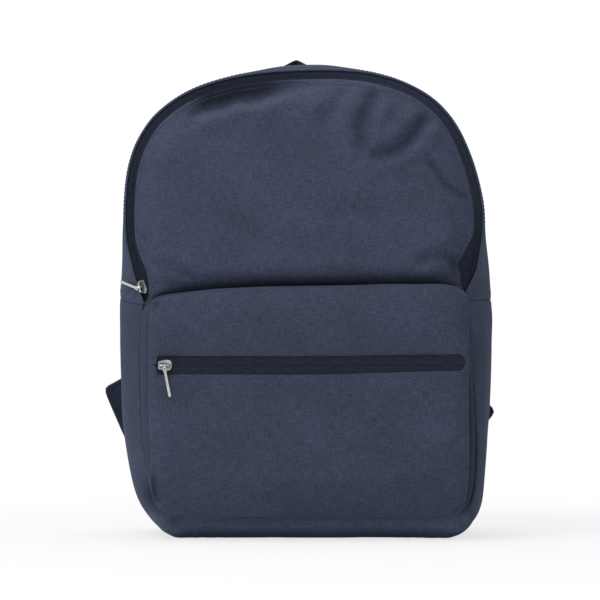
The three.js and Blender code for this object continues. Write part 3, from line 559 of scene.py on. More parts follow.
# ------------------------------------------------------------------ shader graphs
class Graph:
    """Node tree of a material or world. Its methods return output sockets."""

    def __init__(self, owner):
        owner.use_nodes = True
        self.tree = owner.node_tree
        self.tree.nodes.clear()

    def put(self, socket, value):
        if isinstance(value, bpy.types.NodeSocket):
            self.tree.links.new(value, socket)
        elif value is not None:
            if socket.type == "RGBA" and len(value) == 3:
                value = (*value, 1)
            socket.default_value = value

    def add(self, kind, inputs=None, **settings):
        node = self.tree.nodes.new("ShaderNode" + kind)
        for key, value in settings.items():
            setattr(node, key, value)
        for key, value in (inputs or {}).items():
            self.put(node.inputs[key], value)
        return node

    def out(self, kind, inputs=None, output=0, **settings):
        return self.add(kind, inputs, **settings).outputs[output]

    def math(self, op, a, b=None, c=None, clamp=False):
        return self.out("Math", {0: a, 1: b, 2: c}, operation=op, use_clamp=clamp)

    def coords(self, kind):
        return self.out("TexCoord", output=kind)

    def split(self, vector):
        return self.add("SeparateXYZ", {0: vector}).outputs

    def mapping(self, src, stretch=(1, 1, 1), loc=(0, 0, 0)):
        return self.out("Mapping", {"Vector": src, "Scale": stretch, "Location": loc})

    def noise(self, src, scale=1.0, detail=2.0, rough=0.5, **mapping):
        src = self.mapping(src, **mapping)
        inputs = {"Vector": src, "Scale": scale, "Detail": detail, "Roughness": rough}
        return self.out("TexNoise", inputs)

    def ramp(self, src, *stops, interp="LINEAR"):
        """Colour ramp; a stop is (position, grey or colour)."""
        node = self.add("ValToRGB", {0: src})
        node.color_ramp.interpolation = interp
        elements = node.color_ramp.elements
        while len(elements) < len(stops):
            elements.new(0.5)
        for e, (position, c) in zip(elements, stops):
            e.position = position
            e.color = (c, c, c, 1) if isinstance(c, (int, float)) else (*c, 1)
        return node.outputs[0]

    def mix(self, factor, a, b, mode="MIX"):
        inputs = {0: factor, 6: a, 7: b}
        return self.out("Mix", inputs, output=2, data_type="RGBA", blend_type=mode)

    def times(self, a, b):
        return self.mix(1.0, a, b, "MULTIPLY")

    def bump(self, height, strength, dist, normal=None):
        inputs = {"Strength": strength, "Distance": dist, "Height": height, "Normal": normal}
        return self.out("Bump", inputs)

    def occlusion(self, distance, samples):
        return self.out("AmbientOcclusion", {"Distance": distance}, output=1, samples=samples)

    def edges(self, full):
        """1 on convex edges, 0 elsewhere; full is the pointiness that counts as all edge."""
        pointiness = self.out("NewGeometry", output="Pointiness")
        return self.ramp(pointiness, (0.50, 0.0), (full, 1.0))

    def fold_shade(self):
        """Brightness from the cloth's painted shade attribute: painted shade below 1, painted light
        above 1.
        """
        fold = self.out("Attribute", output=2, attribute_name="fold")
        return self.math("MULTIPLY_ADD", fold, -0.74, 1.0)

    def ripple(self, coordinate, period):
        """|sin| along a coordinate."""
        return self.math("ABSOLUTE", self.math("SINE", self.math("MULTIPLY", coordinate, period)))


class Material(Graph):
    def __init__(self, name):
        self.mat = bpy.data.materials.new(name)
        super().__init__(self.mat)
        self.output = self.add("OutputMaterial")
        self.bsdf = self.add("BsdfPrincipled")
        self.put(self.output.inputs[0], self.bsdf.outputs[0])

    def surface(self, **values):
        for key, value in values.items():
            self.put(self.bsdf.inputs[key.replace("_", " ")], value)
        return self.mat


# ------------------------------------------------------------------ materials
def plain_weave(m, uv, pitch):
    """Height of an over-under weave with the given thread pitch in metres, and where the
    thread along v lies on top."""
    x, y = (m.math("MULTIPLY", c, math.pi / pitch) for c in m.split(uv)[:2])
    sx, sy = m.math("SINE", x), m.math("SINE", y)
    over = m.math("GREATER_THAN", m.math("MULTIPLY", sx, sy), 0.0)
    warp = m.math("MULTIPLY", m.math("ABSOLUTE", sx), over)
    weft = m.math("MULTIPLY", m.math("ABSOLUTE", sy), m.math("SUBTRACT", 1.0, over))
    return m.math("ADD", warp, weft), over


def heather(name, tone, painted_corner_shade_level=0.34):
    """Mottled blue body cloth with painted shade. tone: overall brightness, the cloth's own and,
    between its copies, painted shade; the last argument: brightness of the painted shade in corners
    and seams.
    """
    dark, light = (0.0175, 0.0232, 0.0455), (0.080, 0.0985, 0.160)
    m = Material(name)
    uv = m.coords("UV")
    height, over = plain_weave(m, uv, pitch=0.00062)

    # slubs: threads that run long one way and thin the other, in both directions
    def slubs(coarse_stretch, coarse_loc, fine_stretch, fine_loc):
        coarse = m.noise(uv, detail=2.5, rough=0.6, stretch=coarse_stretch, loc=coarse_loc)
        fine = m.noise(uv, detail=1.0, rough=0.5, stretch=fine_stretch, loc=fine_loc)
        return coarse, m.math("ADD", m.math("MULTIPLY", coarse, 0.62),
                              m.math("MULTIPLY", fine, 0.38))

    coarse, one_way = slubs((115, 1150, 1), (0, 0, 0), (300, 1900, 1), (8.1, 2.2, 0))
    _, other_way = slubs((1150, 115, 1), (3.7, 1.3, 0), (1900, 300, 1), (1.9, 6.4, 0))
    thread = m.mix(over, one_way, other_way)
    both = m.mix(0.36, one_way, other_way)
    mottle = m.ramp(m.mix(0.55, both, thread), (0.33, 0.0), (0.5, 0.42), (0.68, 1.0))
    big = m.noise(uv, scale=17.0, detail=3.0, rough=0.55)
    cloud = m.ramp(big, (0.3, 0.86 * tone), (0.7, 1.10 * tone))
    color = m.times(m.mix(mottle, dark, light), cloud)
    # painted shade: the cloth is darkened where occlusion finds seams and folds, and by the painted
    # shade attribute
    painted_corner_colour = (painted_corner_shade_level, painted_corner_shade_level * 1.02, painted_corner_shade_level * 1.1)
    near = m.ramp(m.occlusion(0.014, samples=5), (0.18, painted_corner_colour), (0.72, (1.0, 1.0, 1.0)))
    shade = m.fold_shade()
    color = m.times(m.times(color, near), shade)
    slub_height = m.math("MULTIPLY", m.out("RGBToBW", {0: both}), 1.0)
    weave_bump = m.bump(height, strength=0.55, dist=0.00012)
    return m.surface(
        Base_Color=color,
        Roughness=m.ramp(coarse, (0.3, 0.78), (0.7, 0.93)),
        Normal=m.bump(slub_height, strength=0.35, dist=0.00025, normal=weave_bump),
        Sheen_Weight=m.math("MULTIPLY", shade, 0.10, clamp=True),
        Sheen_Roughness=0.45,
        Sheen_Tint=(0.45, 0.55, 0.80),
        Specular_IOR_Level=m.math("MULTIPLY", shade, 0.22, clamp=True),
    )


def woven_tape(name, color, pitch, rough, sheen):
    """Zip tape and webbing: ribs across the width, fine knit along it."""
    m = Material(name)
    uv = m.coords("UV")
    x, y, _ = m.split(uv)
    rib = m.ripple(x, math.pi / pitch)
    slanted = m.math("ADD", y, m.math("MULTIPLY", x, 0.6))
    knit = m.ripple(slanted, math.pi / (pitch * 0.8))
    height = m.math("ADD", m.math("MULTIPLY", rib, 0.65), m.math("MULTIPLY", knit, 0.35))
    mottle = m.noise(uv, detail=2.0, rough=0.6, stretch=(900, 180, 1))
    color = m.times(color, m.ramp(mottle, (0.3, 0.72), (0.7, 1.3)))
    # painted shade in the rib valleys and painted highlight on the rib tops
    color = m.times(color, m.ramp(height, (0.0, 0.72), (1.0, 1.12)))
    # painted shade from the cloth's painted shade attribute as well
    return m.surface(
        Base_Color=m.times(color, m.fold_shade()),
        Roughness=rough,
        Normal=m.bump(height, strength=0.6, dist=0.00022),
        Sheen_Weight=sheen,
        Specular_IOR_Level=0.04,
    )


def lining_cloth(name):
    m = Material(name)
    uv = m.coords("UV")
    height, _ = plain_weave(m, uv, pitch=0.00042)
    mottle = m.noise(uv, scale=30, detail=4, rough=0.6)
    crumple = m.bump(mottle, strength=0.25, dist=0.002)
    return m.surface(
        Base_Color=m.times((0.0205, 0.0245, 0.0365), m.ramp(mottle, (0.3, 0.85), (0.7, 1.15))),
        Roughness=0.62,
        Normal=m.bump(height, strength=0.35, dist=0.0001, normal=crumple),
        Sheen_Weight=0.15,
    )


def metal(name, deep, pale, painted_edge_highlight, rough):
    """Cast metal: deep and pale mottling, painted highlights on its rims, painted shade in its
    corners.
    """
    m = Material(name)
    oc = m.coords("Object")
    mottle = m.noise(oc, scale=420, detail=4, rough=0.6)
    brushed = m.noise(oc, detail=2, rough=0.6, stretch=(2600, 2600, 300))
    # painted highlight on convex rims
    color = m.mix(m.edges(full=0.60), m.ramp(mottle, (0.35, pale), (0.7, deep)), painted_edge_highlight)
    # painted shade in the corners, from occlusion
    painted_cavity_shade = m.ramp(m.occlusion(0.0022, samples=6), (0.25, 0.12), (0.8, 1.0))
    return m.surface(
        Base_Color=m.times(color, painted_cavity_shade),
        Metallic=1.0,
        Roughness=m.ramp(mottle, (0.3, rough), (0.55, rough + 0.08), (0.75, rough + 0.22)),
        Normal=m.bump(brushed, strength=0.10, dist=0.00005),
    )


def plastic(name, color, rough, grain):
    m = Material(name)
    oc = m.coords("Object")
    grain = m.noise(oc, scale=grain, detail=2, rough=0.5)
    wear = m.noise(oc, scale=90, detail=3, rough=0.6)
    # painted highlight: convex edges are painted lighter
    painted_edge_highlight = tuple(min(1, c * 2.4 + 0.01) for c in color)
    return m.surface(
        Base_Color=m.mix(m.edges(full=0.58), color, painted_edge_highlight),
        Roughness=m.ramp(wear, (0.3, rough - 0.08), (0.7, rough + 0.12)),
        Normal=m.bump(grain, strength=0.25, dist=0.0001),
    )


def coil_nylon(name):
    m = Material(name)
    mottle = m.noise(m.coords("Object"), scale=300, detail=2, rough=0.5)
    return m.surface(
        Base_Color=m.ramp(mottle, (0.3, (0.011, 0.013, 0.018)), (0.7, (0.024, 0.027, 0.036))),
        Roughness=0.3,
        Specular_IOR_Level=0.5,
    )


def foam(name):
    m = Material(name)
    oc = m.coords("Object")
    cells = m.out("TexVoronoi", {"Scale": 1300, "Vector": m.mapping(oc)})
    mottle = m.noise(oc, scale=120, detail=3, rough=0.6)
    return m.surface(
        Base_Color=m.ramp(mottle, (0.3, (0.23, 0.24, 0.26)), (0.7, (0.32, 0.33, 0.35))),
        Roughness=0.95,
        Normal=m.bump(cells, strength=0.5, dist=0.0003),
    )


def spacer_mesh(name):
    """A honeycomb of small holes, painted darker: a darker ground under them and painted shade down
    in them.
    """
    pitch = 0.0029
    m = Material(name)
    uv = m.coords("UV")
    u, v, _ = m.split(uv)
    x = m.math("MULTIPLY", u, 2 * math.pi / pitch)
    y = m.math("MULTIPLY", v, 2 * math.pi / (pitch * 1.732))

    def holes(x, y):
        return m.math("MULTIPLY", m.math("COSINE", x), m.math("COSINE", y))

    between = holes(m.math("ADD", x, math.pi), m.math("ADD", y, math.pi))
    hole = m.ramp(m.math("MAXIMUM", holes(x, y), between), (0.35, 0.0), (0.62, 1.0))
    mottle = m.noise(uv, detail=2, rough=0.6, stretch=(700, 1400, 1))
    # the holes are painted darker: darker ground and painted shade
    color = m.mix(hole, (0.023, 0.029, 0.050), (0.010, 0.0125, 0.021))
    return m.surface(
        Base_Color=m.times(color, m.ramp(mottle, (0.3, 0.75), (0.7, 1.3))),
        Roughness=0.92,
        Normal=m.bump(m.math("SUBTRACT", 1.0, hole), strength=0.8, dist=0.0008),
        Sheen_Weight=0.02,
        Specular_IOR_Level=0.1,
    )


def thread(name):
    color = (0.015, 0.0185, 0.031)
    m = Material(name)
    twist = m.noise(m.coords("Object"), scale=2500, detail=2, rough=0.5)
    dark, light = (tuple(c * share for c in color) for share in (0.7, 1.4))
    return m.surface(
        Base_Color=m.ramp(twist, (0.3, dark), (0.7, light)),
        Roughness=0.55,
        Normal=m.bump(twist, strength=0.3, dist=0.0001),
        Sheen_Weight=0.2,
    )


# copies of one cloth whose differences in tone and corner level are painted shade: the pocket's
# copy is painted darker against the light its face catches, the side copy a little darker with
# lighter painted corners
M_HEATHER = heather("heather_cloth", tone=0.97)
M_HEATHER_SIDE = heather("heather_cloth_side", tone=0.95, painted_corner_shade_level=0.5)
M_POCKET = heather("heather_cloth_pocket", tone=0.88)
M_TAPE = woven_tape("zip_tape_cloth", (0.0198, 0.0238, 0.0375), 0.0011, rough=0.95, sheen=0.0)
M_WEB = woven_tape("webbing_cloth", (0.023, 0.029, 0.047), 0.0022, rough=0.72, sheen=0.05)
M_BIND = woven_tape("binding_cloth", (0.0205, 0.0255, 0.042), 0.0013, rough=0.78, sheen=0.05)
M_LINING = lining_cloth("lining_cloth")
M_METAL = metal(
    "nickel_metal", deep=(0.46, 0.45, 0.44), pale=(0.62, 0.61, 0.60), painted_edge_highlight=(0.86, 0.85, 0.83),
    rough=0.16,
)
M_BODY = metal(
    "slider_metal", deep=(0.10, 0.10, 0.11), pale=(0.17, 0.17, 0.18), painted_edge_highlight=(0.80, 0.79, 0.78),
    rough=0.26,
)
M_PLASTIC = plastic("black_plastic", (0.012, 0.013, 0.015), rough=0.42, grain=1500)
M_BOARD = plastic("board_plastic", (0.035, 0.036, 0.038), rough=0.55, grain=700)
M_COIL = coil_nylon("zip_coil_nylon")
M_FOAM = foam("foam_sheet")
M_MESH = spacer_mesh("spacer_mesh")
M_THREAD = thread("sewing_thread")

# ------------------------------------------------------------------ driving lines
# the body's outline, a little fuller on the right
RING = curve(OUTLINE, 420, True)
RING[:, 1] = np.clip(RING[:, 1], 0, 400)
RING[:, 0] += 1.4 * np.exp(-(((RING[:, 1] - 180) / 80) ** 4)) * (RING[:, 0] > 0)
RING_OUT = side_normals(RING, True)
# main zip: its chain, the direction across the tape towards the front panel, and its outer side
ZIP = curve(ZIP_LINE, 240)
ZIP_OUT = side_normals(ZIP)
CHAIN = at_y(ZIP, front_y(ZIP[:, 1]) + 3.2)
ACROSS = at_y(-ZIP_OUT * math.cos(TILT), -math.sin(TILT))
TAPE_OUT = at_y(ZIP_OUT * math.sin(TILT), -math.cos(TILT))
SEAM = curve(SEAM_LOW, 300)
SEAM_OUT = -side_normals(SEAM)
FACE = curve(POCKET_FACE, 300, True)
FACE[:, 0] -= 1.0 * ease((FACE[:, 1] - 62) / 50) * ease((FACE[:, 0] - 90) / 30)
FACE[:, 1] -= 2.6 * ease((FACE[:, 1] - 196) / 10) * (1 - 0.35 * ease((FACE[:, 0] - 20) / 80))
FACE_OUT = side_normals(FACE, True)


def pocket_drop(z):
    """How far the pocket's face falls back towards its bottom seam."""
    return 9.0 * (1 - ease((z - 12) / 62)) ** 1.3


def creases(X, Z, table):
    """Depth field of soft creases: a valley along each line with a raised roll on either side.
    Each entry is points (x, z), depth, width, ridge height, faded share at each end."""
    total = np.zeros(X.shape)
    points = np.stack([X.ravel(), Z.ravel()], 1)
    for line, depth, width, ridge, fade in table:
        line = np.array(line, float)
        _, d, k, t = nearest(points, line, closed=False)
        lengths = arc(line)
        s = (lengths[k] + t * np.diff(lengths)[k]) / lengths[-1]
        q = d / width
        roll = -bell(q) + ridge * np.exp(-((q - 1.7) ** 2) / 1.1)
        total += (depth * ease(s / fade) * ease((1 - s) / fade) * roll).reshape(X.shape)
    return total


# ------------------------------------------------------------------ gussets and base
def end_fade(n, span):
    i = np.arange(n)
    return (ease(i / span) * ease((n - 1 - i) / span))[:, None]


def body_strip(front, wide, outward, y0, lip, seed):
    """Strip of cloth from its lip and front edge back to the back seam."""
    base = (1 - ease((front[:, 1] - 17) / 16))[:, None]  # 1 along the base
    d = np.sort(np.concatenate([np.linspace(0, 1, 30), [0.03, 0.965, 0.985]]))
    front_share = (np.maximum(0, 1 - d / 0.42) ** 2.1 * (1 - base)
                   + np.maximum(0, 1 - d / 0.13) ** 2.1 * base)
    back_share = (np.maximum(0, (d - 0.7) / 0.3) ** 2.2 * (1 - base)
                  + np.maximum(0, (d - 0.88) / 0.12) ** 2.0 * base)
    xz = wide[:, None] + (front - wide)[:, None] * front_share[..., None]
    xz = xz - outward[:, None] * (BACK_INSET * back_share[..., None])
    P = at_y(xz, y0[:, None] + (BACK_Y - y0[:, None]) * d[None])
    # the back edge turns in under the back seam
    last = P[:, -1:]
    turn = [last + at_y(-outward * a, b)[:, None] for a, b in ((0.8, 1.1), (2.6, 0.9))]
    P = np.concatenate([lip, P, *turn], 1)
    nu, nv = P.shape[:2]
    pin = np.zeros((nu, nv), bool)
    pin[:, : lip.shape[1] + 1] = True
    pin[:, -4:] = True
    pin[0] = pin[-1] = True
    out = at_y(outward)[:, None]
    Q, flipped = oriented(P, out)
    if flipped:
        pin = pin[:, ::-1]
    slack = 0.012
    Q = relax(
        Q, pin, slack_u=slack * (1 + 0.6 * noise2((nu, nv), (14, 3), seed)), slack_v=slack * 0.8,
        pressure=0.012, steps=110, cap=4.0, seed=seed,
    )
    if flipped:
        Q = Q[:, ::-1]
    # the strip keeps its measured outline: only the uneven part of its swelling stays
    swell = ((Q - P) * out).sum(-1)
    even = swell.copy()
    even[:10] = swell[10]
    even[-10:] = swell[-11]
    window = np.ones(31) / 31
    broad = np.stack(
        [np.convolve(np.pad(column, 15, mode="edge"), window, "valid") for column in even.T], 1
    )
    Q = Q + out * ((even - broad * 0.95) * end_fade(nu, 14) - swell)[..., None]
    # broad, soft unevenness
    share = np.linspace(0, 1, nv)[None]
    fade = ease((share - 0.05) / 0.25) * ease((0.95 - share) / 0.2)
    uneven = 0.5 * noise2((nu, nv), (nu / 10, 4), seed + 5, 2) * fade * end_fade(nu, 8)
    Q = Q + facing_normals(Q, out) * uneven[..., None]
    # the flat of the base stays on the ground
    Q[..., 2] = np.maximum(Q[..., 2], 0.0)
    return Q


def tuck_ends(P, out, depth, second):
    """Both ends turn in where they are sewn to their neighbours; second: share of row two."""
    P = P.copy()
    for i, share in ((0, 1.0), (1, second), (-1, 1.0), (-2, second)):
        P[i] = P[i] - out[i] * depth * share
    return P


# upper gusset
front_edge = CHAIN - ACROSS * 8.4
top_wide, top_n = on_ring(front_edge[:, [0, 2]] + ZIP_OUT * 8)
# near the right foot the side cloth closes over the tape
SHUT = (np.clip((236 - ZIP[:, 1]) / 34, 0, 1) * (ZIP[:, 0] > 0))[:, None]
# rolled lip: distance from the chain, how much of it closes, height above the tape
TOP_LIP = [(5.9, 3.6, 0.15), (5.1, 3.7, 0.55), (5.0, 3.7, 1.15), (5.5, 3.5, 1.65),
           (6.7, 2.2, 1.75)]
lip = np.stack([CHAIN - ACROSS * (a - b * SHUT) + TAPE_OUT * c for a, b, c in TOP_LIP], 1)
P_TOP = body_strip(front_edge[:, [0, 2]], top_wide, top_n, front_edge[:, 1] - 1.1, lip, seed=11)
TOP_OUT = at_y(top_n)[:, None]
# it stands higher along the middle of the top
stand = np.interp(
    P_TOP[:, 0, 0],
    [-110, -75, -38, -14, 14, 40, 70, 96],
    [0, 0.8, 1.7, 3.5, 3.5, 2.0, 0.6, 0],
) * (P_TOP[:, 0, 2] > 300)
arch_share = np.sin(math.pi * np.clip(np.linspace(0, 1, P_TOP.shape[1] - 5), 0, 1)) ** 0.8
P_TOP[:, 5:, 2] += stand[:, None] * arch_share[None]

# lower gussets and base, one strip cut in three
low_wide, low_n = on_ring(SEAM + SEAM_OUT * 8)
seam3 = at_y(SEAM, FRONT_Y + 0.6)
# rolled lip: inset from the seam, y offset
lip = np.stack(
    [seam3 - at_y(SEAM_OUT) * a + np.array([0, b, 0])
     for a, b in ((2.6, 0.9), (1.5, -0.2), (0.4, -0.6))], 1
)
P_LOW = body_strip(SEAM, low_wide, low_n, seam3[:, 1], lip, seed=23)
LOW_OUT = at_y(low_n)[:, None]
full_right = 3.4 * bell((low_wide[:, 1] - 17) / 17.0) * (low_wide[:, 0] > 100)
depth_share = np.sin(math.pi * np.linspace(0.1, 1, P_LOW.shape[1] - 10))[None] ** 0.6
P_LOW[:, 4:-6] += LOW_OUT * (full_right[:, None] * depth_share)[..., None]
# the right side falls away deeper beside the pocket
deep_right = 6.0 * ease((SEAM[:, 1] - 22) / 24) * ease((186 - SEAM[:, 1]) / 30)
deep_right *= SEAM[:, 0] > 100
columns = np.arange(P_LOW.shape[1])
P_LOW[:, :, 1] += deep_right[:, None] * np.interp(columns, [0, 3, 5, 9], [1, 1, 0.8, 0])[None]
# cross seams: the left one climbs towards the back, and both strips end on the same line
rise = 6.5 * ease(np.linspace(0, 1, P_LOW.shape[1] - 3) / 0.5)
for i in range(9):
    P_LOW[i, 3:, 2] += rise * (1 - ease(i / 9))
for end in (0, -1):
    gap = P_LOW[end, 3:] + np.array([0, 0, 0.5]) - P_TOP[end, 5:]
    for i in range(10):
        k = i if end == 0 else -1 - i
        P_TOP[k, 5:] += gap * (1 - ease(i / 10))
        P_TOP[k, :5] += gap[:1] * (1 - ease(i / 10))
P_TOP = tuck_ends(P_TOP, TOP_OUT[:, 0], depth=0.45, second=0.3)
mount(sheet("gusset_upper", P_TOP, TOP_OUT, M_HEATHER_SIDE), "shell", "heather", "top_gusset")

# painted shade of the lower strip beside and below the pocket, and painted light on the base
off_face = grid_distance(P_LOW[..., [0, 2]], FACE)
X, Z = P_LOW[..., 0], P_LOW[..., 2]
in_front = (columns < 14)[None]
left_side = X < -100
band = np.interp(Z, [12, 22, 40, 74, 91, 116, 159, 184, 200], [0, 4, 7.6, 8.5, 8, 6.6, 2.6, 1.6, 0])
# painted shadow line just under the pocket's bottom edge
under_pocket_shadow = bell((Z - 13.6) / 2.8)
LOW_PAINTED_SHADE = 0.84 * ease((band - off_face + 1.5) / 3.2) * ease(band / 1.5) * (X > 100) * in_front
LOW_PAINTED_SHADE += 0.6 * ease((Z - 130) / 40) * left_side * bell(off_face / 4.5) * in_front
LOW_PAINTED_SHADE += 0.72 * bell((Z - 37) / 14) * left_side * bell(off_face / 9.5) * in_front
LOW_PAINTED_SHADE += 0.16 * ease((Z - 50) / 50) * left_side
LOW_PAINTED_SHADE += 0.62 * under_pocket_shadow * ease((0 - X) / 40) * ease((X + 118) / 8) * in_front
# painted light on the base, weaker along the painted shadow line
LOW_PAINTED_SHADE -= 1.0 * ease((24 - Z) / 12) * (np.abs(X) < 140) * (1 - 0.6 * under_pocket_shadow)
LOW_PAINTED_SHADE = np.clip(LOW_PAINTED_SHADE, -1.1, 0.97)

# where the strip is cut at the two bottom corners
last_row = len(SEAM) - 1
cut_left = int(np.argmax((SEAM[:, 1] < 21) & (SEAM[:, 0] > -112)))
cut_right = last_row - int(np.argmax(((SEAM[:, 1] < 18) & (SEAM[:, 0] < 122))[::-1]))
for name, first, last, node in (
    ("gusset_side_left", 0, cut_left, "side_gusset_left"),
    ("base_cloth", cut_left, cut_right, "base_panel"),
    ("gusset_side_right", cut_right, last_row, "side_gusset_right"),
):
    rows = slice(first, last + 1)
    out, fold = LOW_OUT[rows], LOW_PAINTED_SHADE[rows]
    Q = tuck_ends(P_LOW[rows], out[:, 0], depth=0.5, second=0.35)
    Q[..., 2] = np.maximum(Q[..., 2], 0.0)
    # the seam allowance carries on under the upper gusset
    if first == 0:
        under = [(Q[0] - out[0] * a + [0, 0, b])[None] for a, b in ((1.5, 3.2), (1.2, 0.7))]
        Q = np.concatenate([*under, Q])
        out = np.concatenate([out[:1], out[:1], out])
        fold = np.concatenate([fold[:1], fold[:1], fold])
    if last == last_row:
        under = [(Q[-1] - out[-1] * a + [0, 0, b])[None] for a, b in ((1.2, 0.7), (1.5, 3.2))]
        Q = np.concatenate([Q, *under])
        out = np.concatenate([out, out[-1:], out[-1:]])
        fold = np.concatenate([fold, fold[-1:], fold[-1:]])
    o = sheet(name, Q, out, M_HEATHER_SIDE, fold=fold, fold_min=-1.1)
    mount(o, "shell", "heather", node)

# ------------------------------------------------------------------ front panel
# One cloth from the zip down behind the pocket. NOTCH widens the bare tape at the zip's feet.
zip_right = ZIP[:, 0] > 0
closing = np.clip((257 - ZIP[:, 1]) / 26, 0, 1)
opening = np.clip((ZIP[:, 1] - 202) / 29, 0, 1)
NOTCH = 11.0 * np.minimum(closing**1.15, opening) * zip_right
NOTCH = NOTCH - 2.6 * np.clip((216 - ZIP[:, 1]) / 12, 0, 1) * zip_right
NOTCH = NOTCH + 3.6 * bell((ZIP[:, 1] - 224) / 11.0) * (ZIP[:, 0] < 0)
edge = (CHAIN + ACROSS * (3.7 + NOTCH)[:, None])[:, [0, 2]]
corner_left = int(np.argmax(edge[:, 1] > 326))
corner_right = len(edge) - 1 - int(np.argmax(edge[::-1, 1] > 322))
top = edge[corner_left : corner_right + 1]


def hem_z(x):
    return np.interp(
        x, [-134, -128, -119, -90, 0, 120, 131, 138], [186, 192, 198, 203, 207, 207, 200, 188]
    )


def down_to_hem(run, shift):
    """A side edge carried on below the foot of the zip."""
    x = run[0, 0] + shift * np.array([1, 1, 1, 1, 1, 0.8])
    z = np.linspace(hem_z(run[0, 0]), run[0, 1], 7)[:-1]
    return np.vstack([np.stack([x, z], 1), run])


left = down_to_hem(edge[: corner_left + 1], -4.6)
right = down_to_hem(edge[corner_right:][::-1], 0.6)
bottom_x = np.linspace(left[0, 0], right[0, 0], 160)
bottom = np.stack([bottom_x, hem_z(bottom_x)], 1)
bottom[0], bottom[-1] = left[0], right[0]
tv = spacing(182.0, step=2.9, close_start=False)
G = coons(left, right, bottom, top, spacing(275.0, step=2.9), tv)
X, Z = G[..., 0], G[..., 1]
from_edge = grid_distance(G, np.vstack([left, top, right[::-1]]), closed=False)
from_edge[0] = from_edge[-1] = 0
from_edge[:, -1] = 0
lip = np.interp(from_edge, [0, 0.5, 1.2, 2.4, 4.5, 9], [-0.25, 0.9, 1.5, 1.75, 1.6, 1.3])
puff = 6.0 * (1 - np.exp(-from_edge / 26.0))
P = at_y(G, front_y(Z) - lip - puff * ease((Z - 196) / 40))
# more slack near the upper corners, where the cloth gathers
gather = np.exp(-(((X - 85) / 45) ** 2) - (((Z - 335) / 35) ** 2))
gather = gather + 0.8 * np.exp(-(((X + 70) / 45) ** 2) - (((Z - 360) / 22) ** 2))
P_FLAP = relax(
    P, (from_edge < 4.0) | (Z < hem_z(X) + 3.0),
    slack_u=0.010 + 0.010 * gather + 0.004 * noise2(X.shape, (9, 6), 31, 2),
    slack_v=0.008 + 0.012 * gather, pressure=0.014, steps=120, cap=9.0, seed=3,
)
X, Z = P_FLAP[..., 0], P_FLAP[..., 2]
# points (x, z), depth, width, ridge, fade
FLAP_CREASES = [
    # the ring-shaped gather below the right shoulder
    (((62.475, 381.65), (57.375, 369.75), (52.275, 357.85), (48.025, 344.25),
      (48.875, 332.35), (55.675, 325.55)), 4.2, 7.0, 0.6, 0.16),
    (((50.575, 330.65), (60.775, 323.85), (74.375, 326.4), (84.575, 332.35),
      (94.775, 342.55), (103.275, 354.45), (106.675, 362.95)), 4.8, 6.6, 0.7, 0.14),
    # the fold that runs out to the right edge
    (((101.575, 323.85), (110.075, 313.65), (118.575, 301.75), (125.375, 294.1),
      (133.875, 289.0), (144.075, 285.6)), 3.2, 4.2, 0.7, 0.2),
    (((104.975, 306.85), (118.575, 289.85), (125.375, 276.25), (123.675, 259.25)),
     2.2, 7.0, 0.5, 0.25),
    (((120.275, 356.15), (127.075, 340.85), (133.875, 325.55)), 1.6, 5.0, 0.5, 0.25),
    (((-92.225, 362.95), (-93.925, 352.75), (-100.725, 342.55)), 1.8, 5.0, 0.5, 0.3),
    (((-41.225, 364.65), (-54.825, 352.75), (-71.825, 345.95), (-88.825, 342.55)),
     1.4, 9.0, 0.4, 0.3),
    (((33.575, 381.65), (28.475, 369.75), (18.275, 357.85), (11.475, 342.55)),
     1.6, 7.0, 0.5, 0.25),
    # pulls from the corners of the zip
    (((130.475, 232.05), (118.575, 238.85), (104.975, 237.15), (89.675, 230.35)),
     3.0, 5.5, 0.5, 0.2),
    (((133.875, 252.45), (123.675, 247.35), (111.775, 247.35)), 1.6, 5.0, 0.4, 0.25),
    (((-133.025, 237.15), (-122.825, 233.75), (-105.825, 225.25), (-85.425, 221.85)),
     2.2, 6.0, 0.5, 0.2),
    (((-139.825, 259.25), (-126.225, 252.45), (-112.625, 240.55)), 1.5, 5.5, 0.4, 0.25),
    # broad slack across the middle
    (((-10.625, 289.85), (18.275, 279.65), (52.275, 274.55), (79.475, 279.65)),
     1.5, 11.0, 0.35, 0.4),
    (((-92.225, 289.85), (-61.625, 274.55), (-39.525, 252.45), (-29.325, 233.75)),
     1.4, 12.0, 0.35, 0.4),
    (((21.675, 252.45), (48.875, 243.95), (74.375, 247.35)), 1.2, 11.0, 0.35, 0.4),
]
relief = creases(X, Z, FLAP_CREASES)
# painted shade in the crease valleys
fold = 0.34 * np.clip(-relief / 4.5, 0, 1)
relief += 1.0 * noise2(X.shape, (7, 5), 41, 3)
# the thick roll under the zip at the left shoulder: the cloth tucks in under the zip, then comes
# forward again over a scalloped lower edge
amount = np.interp(X, [-112, -98, -84, -60, -30, -12, 12], [0, 2.5, 9.5, 10.5, 8.5, 4.0, 0])
reach = np.interp(
    X, [-105, -90, -66, -58, -40, -28, -10, 10], [9, 14, 18, 15, 17.5, 14, 10, 8]
)
share = from_edge / reach
tuck = amount * (Z > 330) * np.interp(
    share,
    [0, 0.25, 0.6, 0.85, 1.0, 1.15, 1.45, 1.9, 2.8],
    [0, -0.28, -0.78, -1.0, -0.94, -0.6, 0.06, 0.16, 0],
)
for _ in range(2):
    tuck[1:-1, 1:-1] = 0.4 * tuck[1:-1, 1:-1] + 0.15 * neighbours(tuck)
relief *= ease(from_edge / 7.0) * ease((Z - 212) / 10)
relief += tuck
# painted shade in the roll under the zip
tuck_shade = np.interp(share, [0, 0.4, 0.72, 0.95, 1.08, 1.22], [0.92, 0.95, 0.72, 0.52, 0.18, 0])
fold = fold * ease(from_edge / 5.0) + np.clip(amount / 9.5, 0, 1) * tuck_shade * (Z > 330)
P_FLAP[..., 1] -= relief
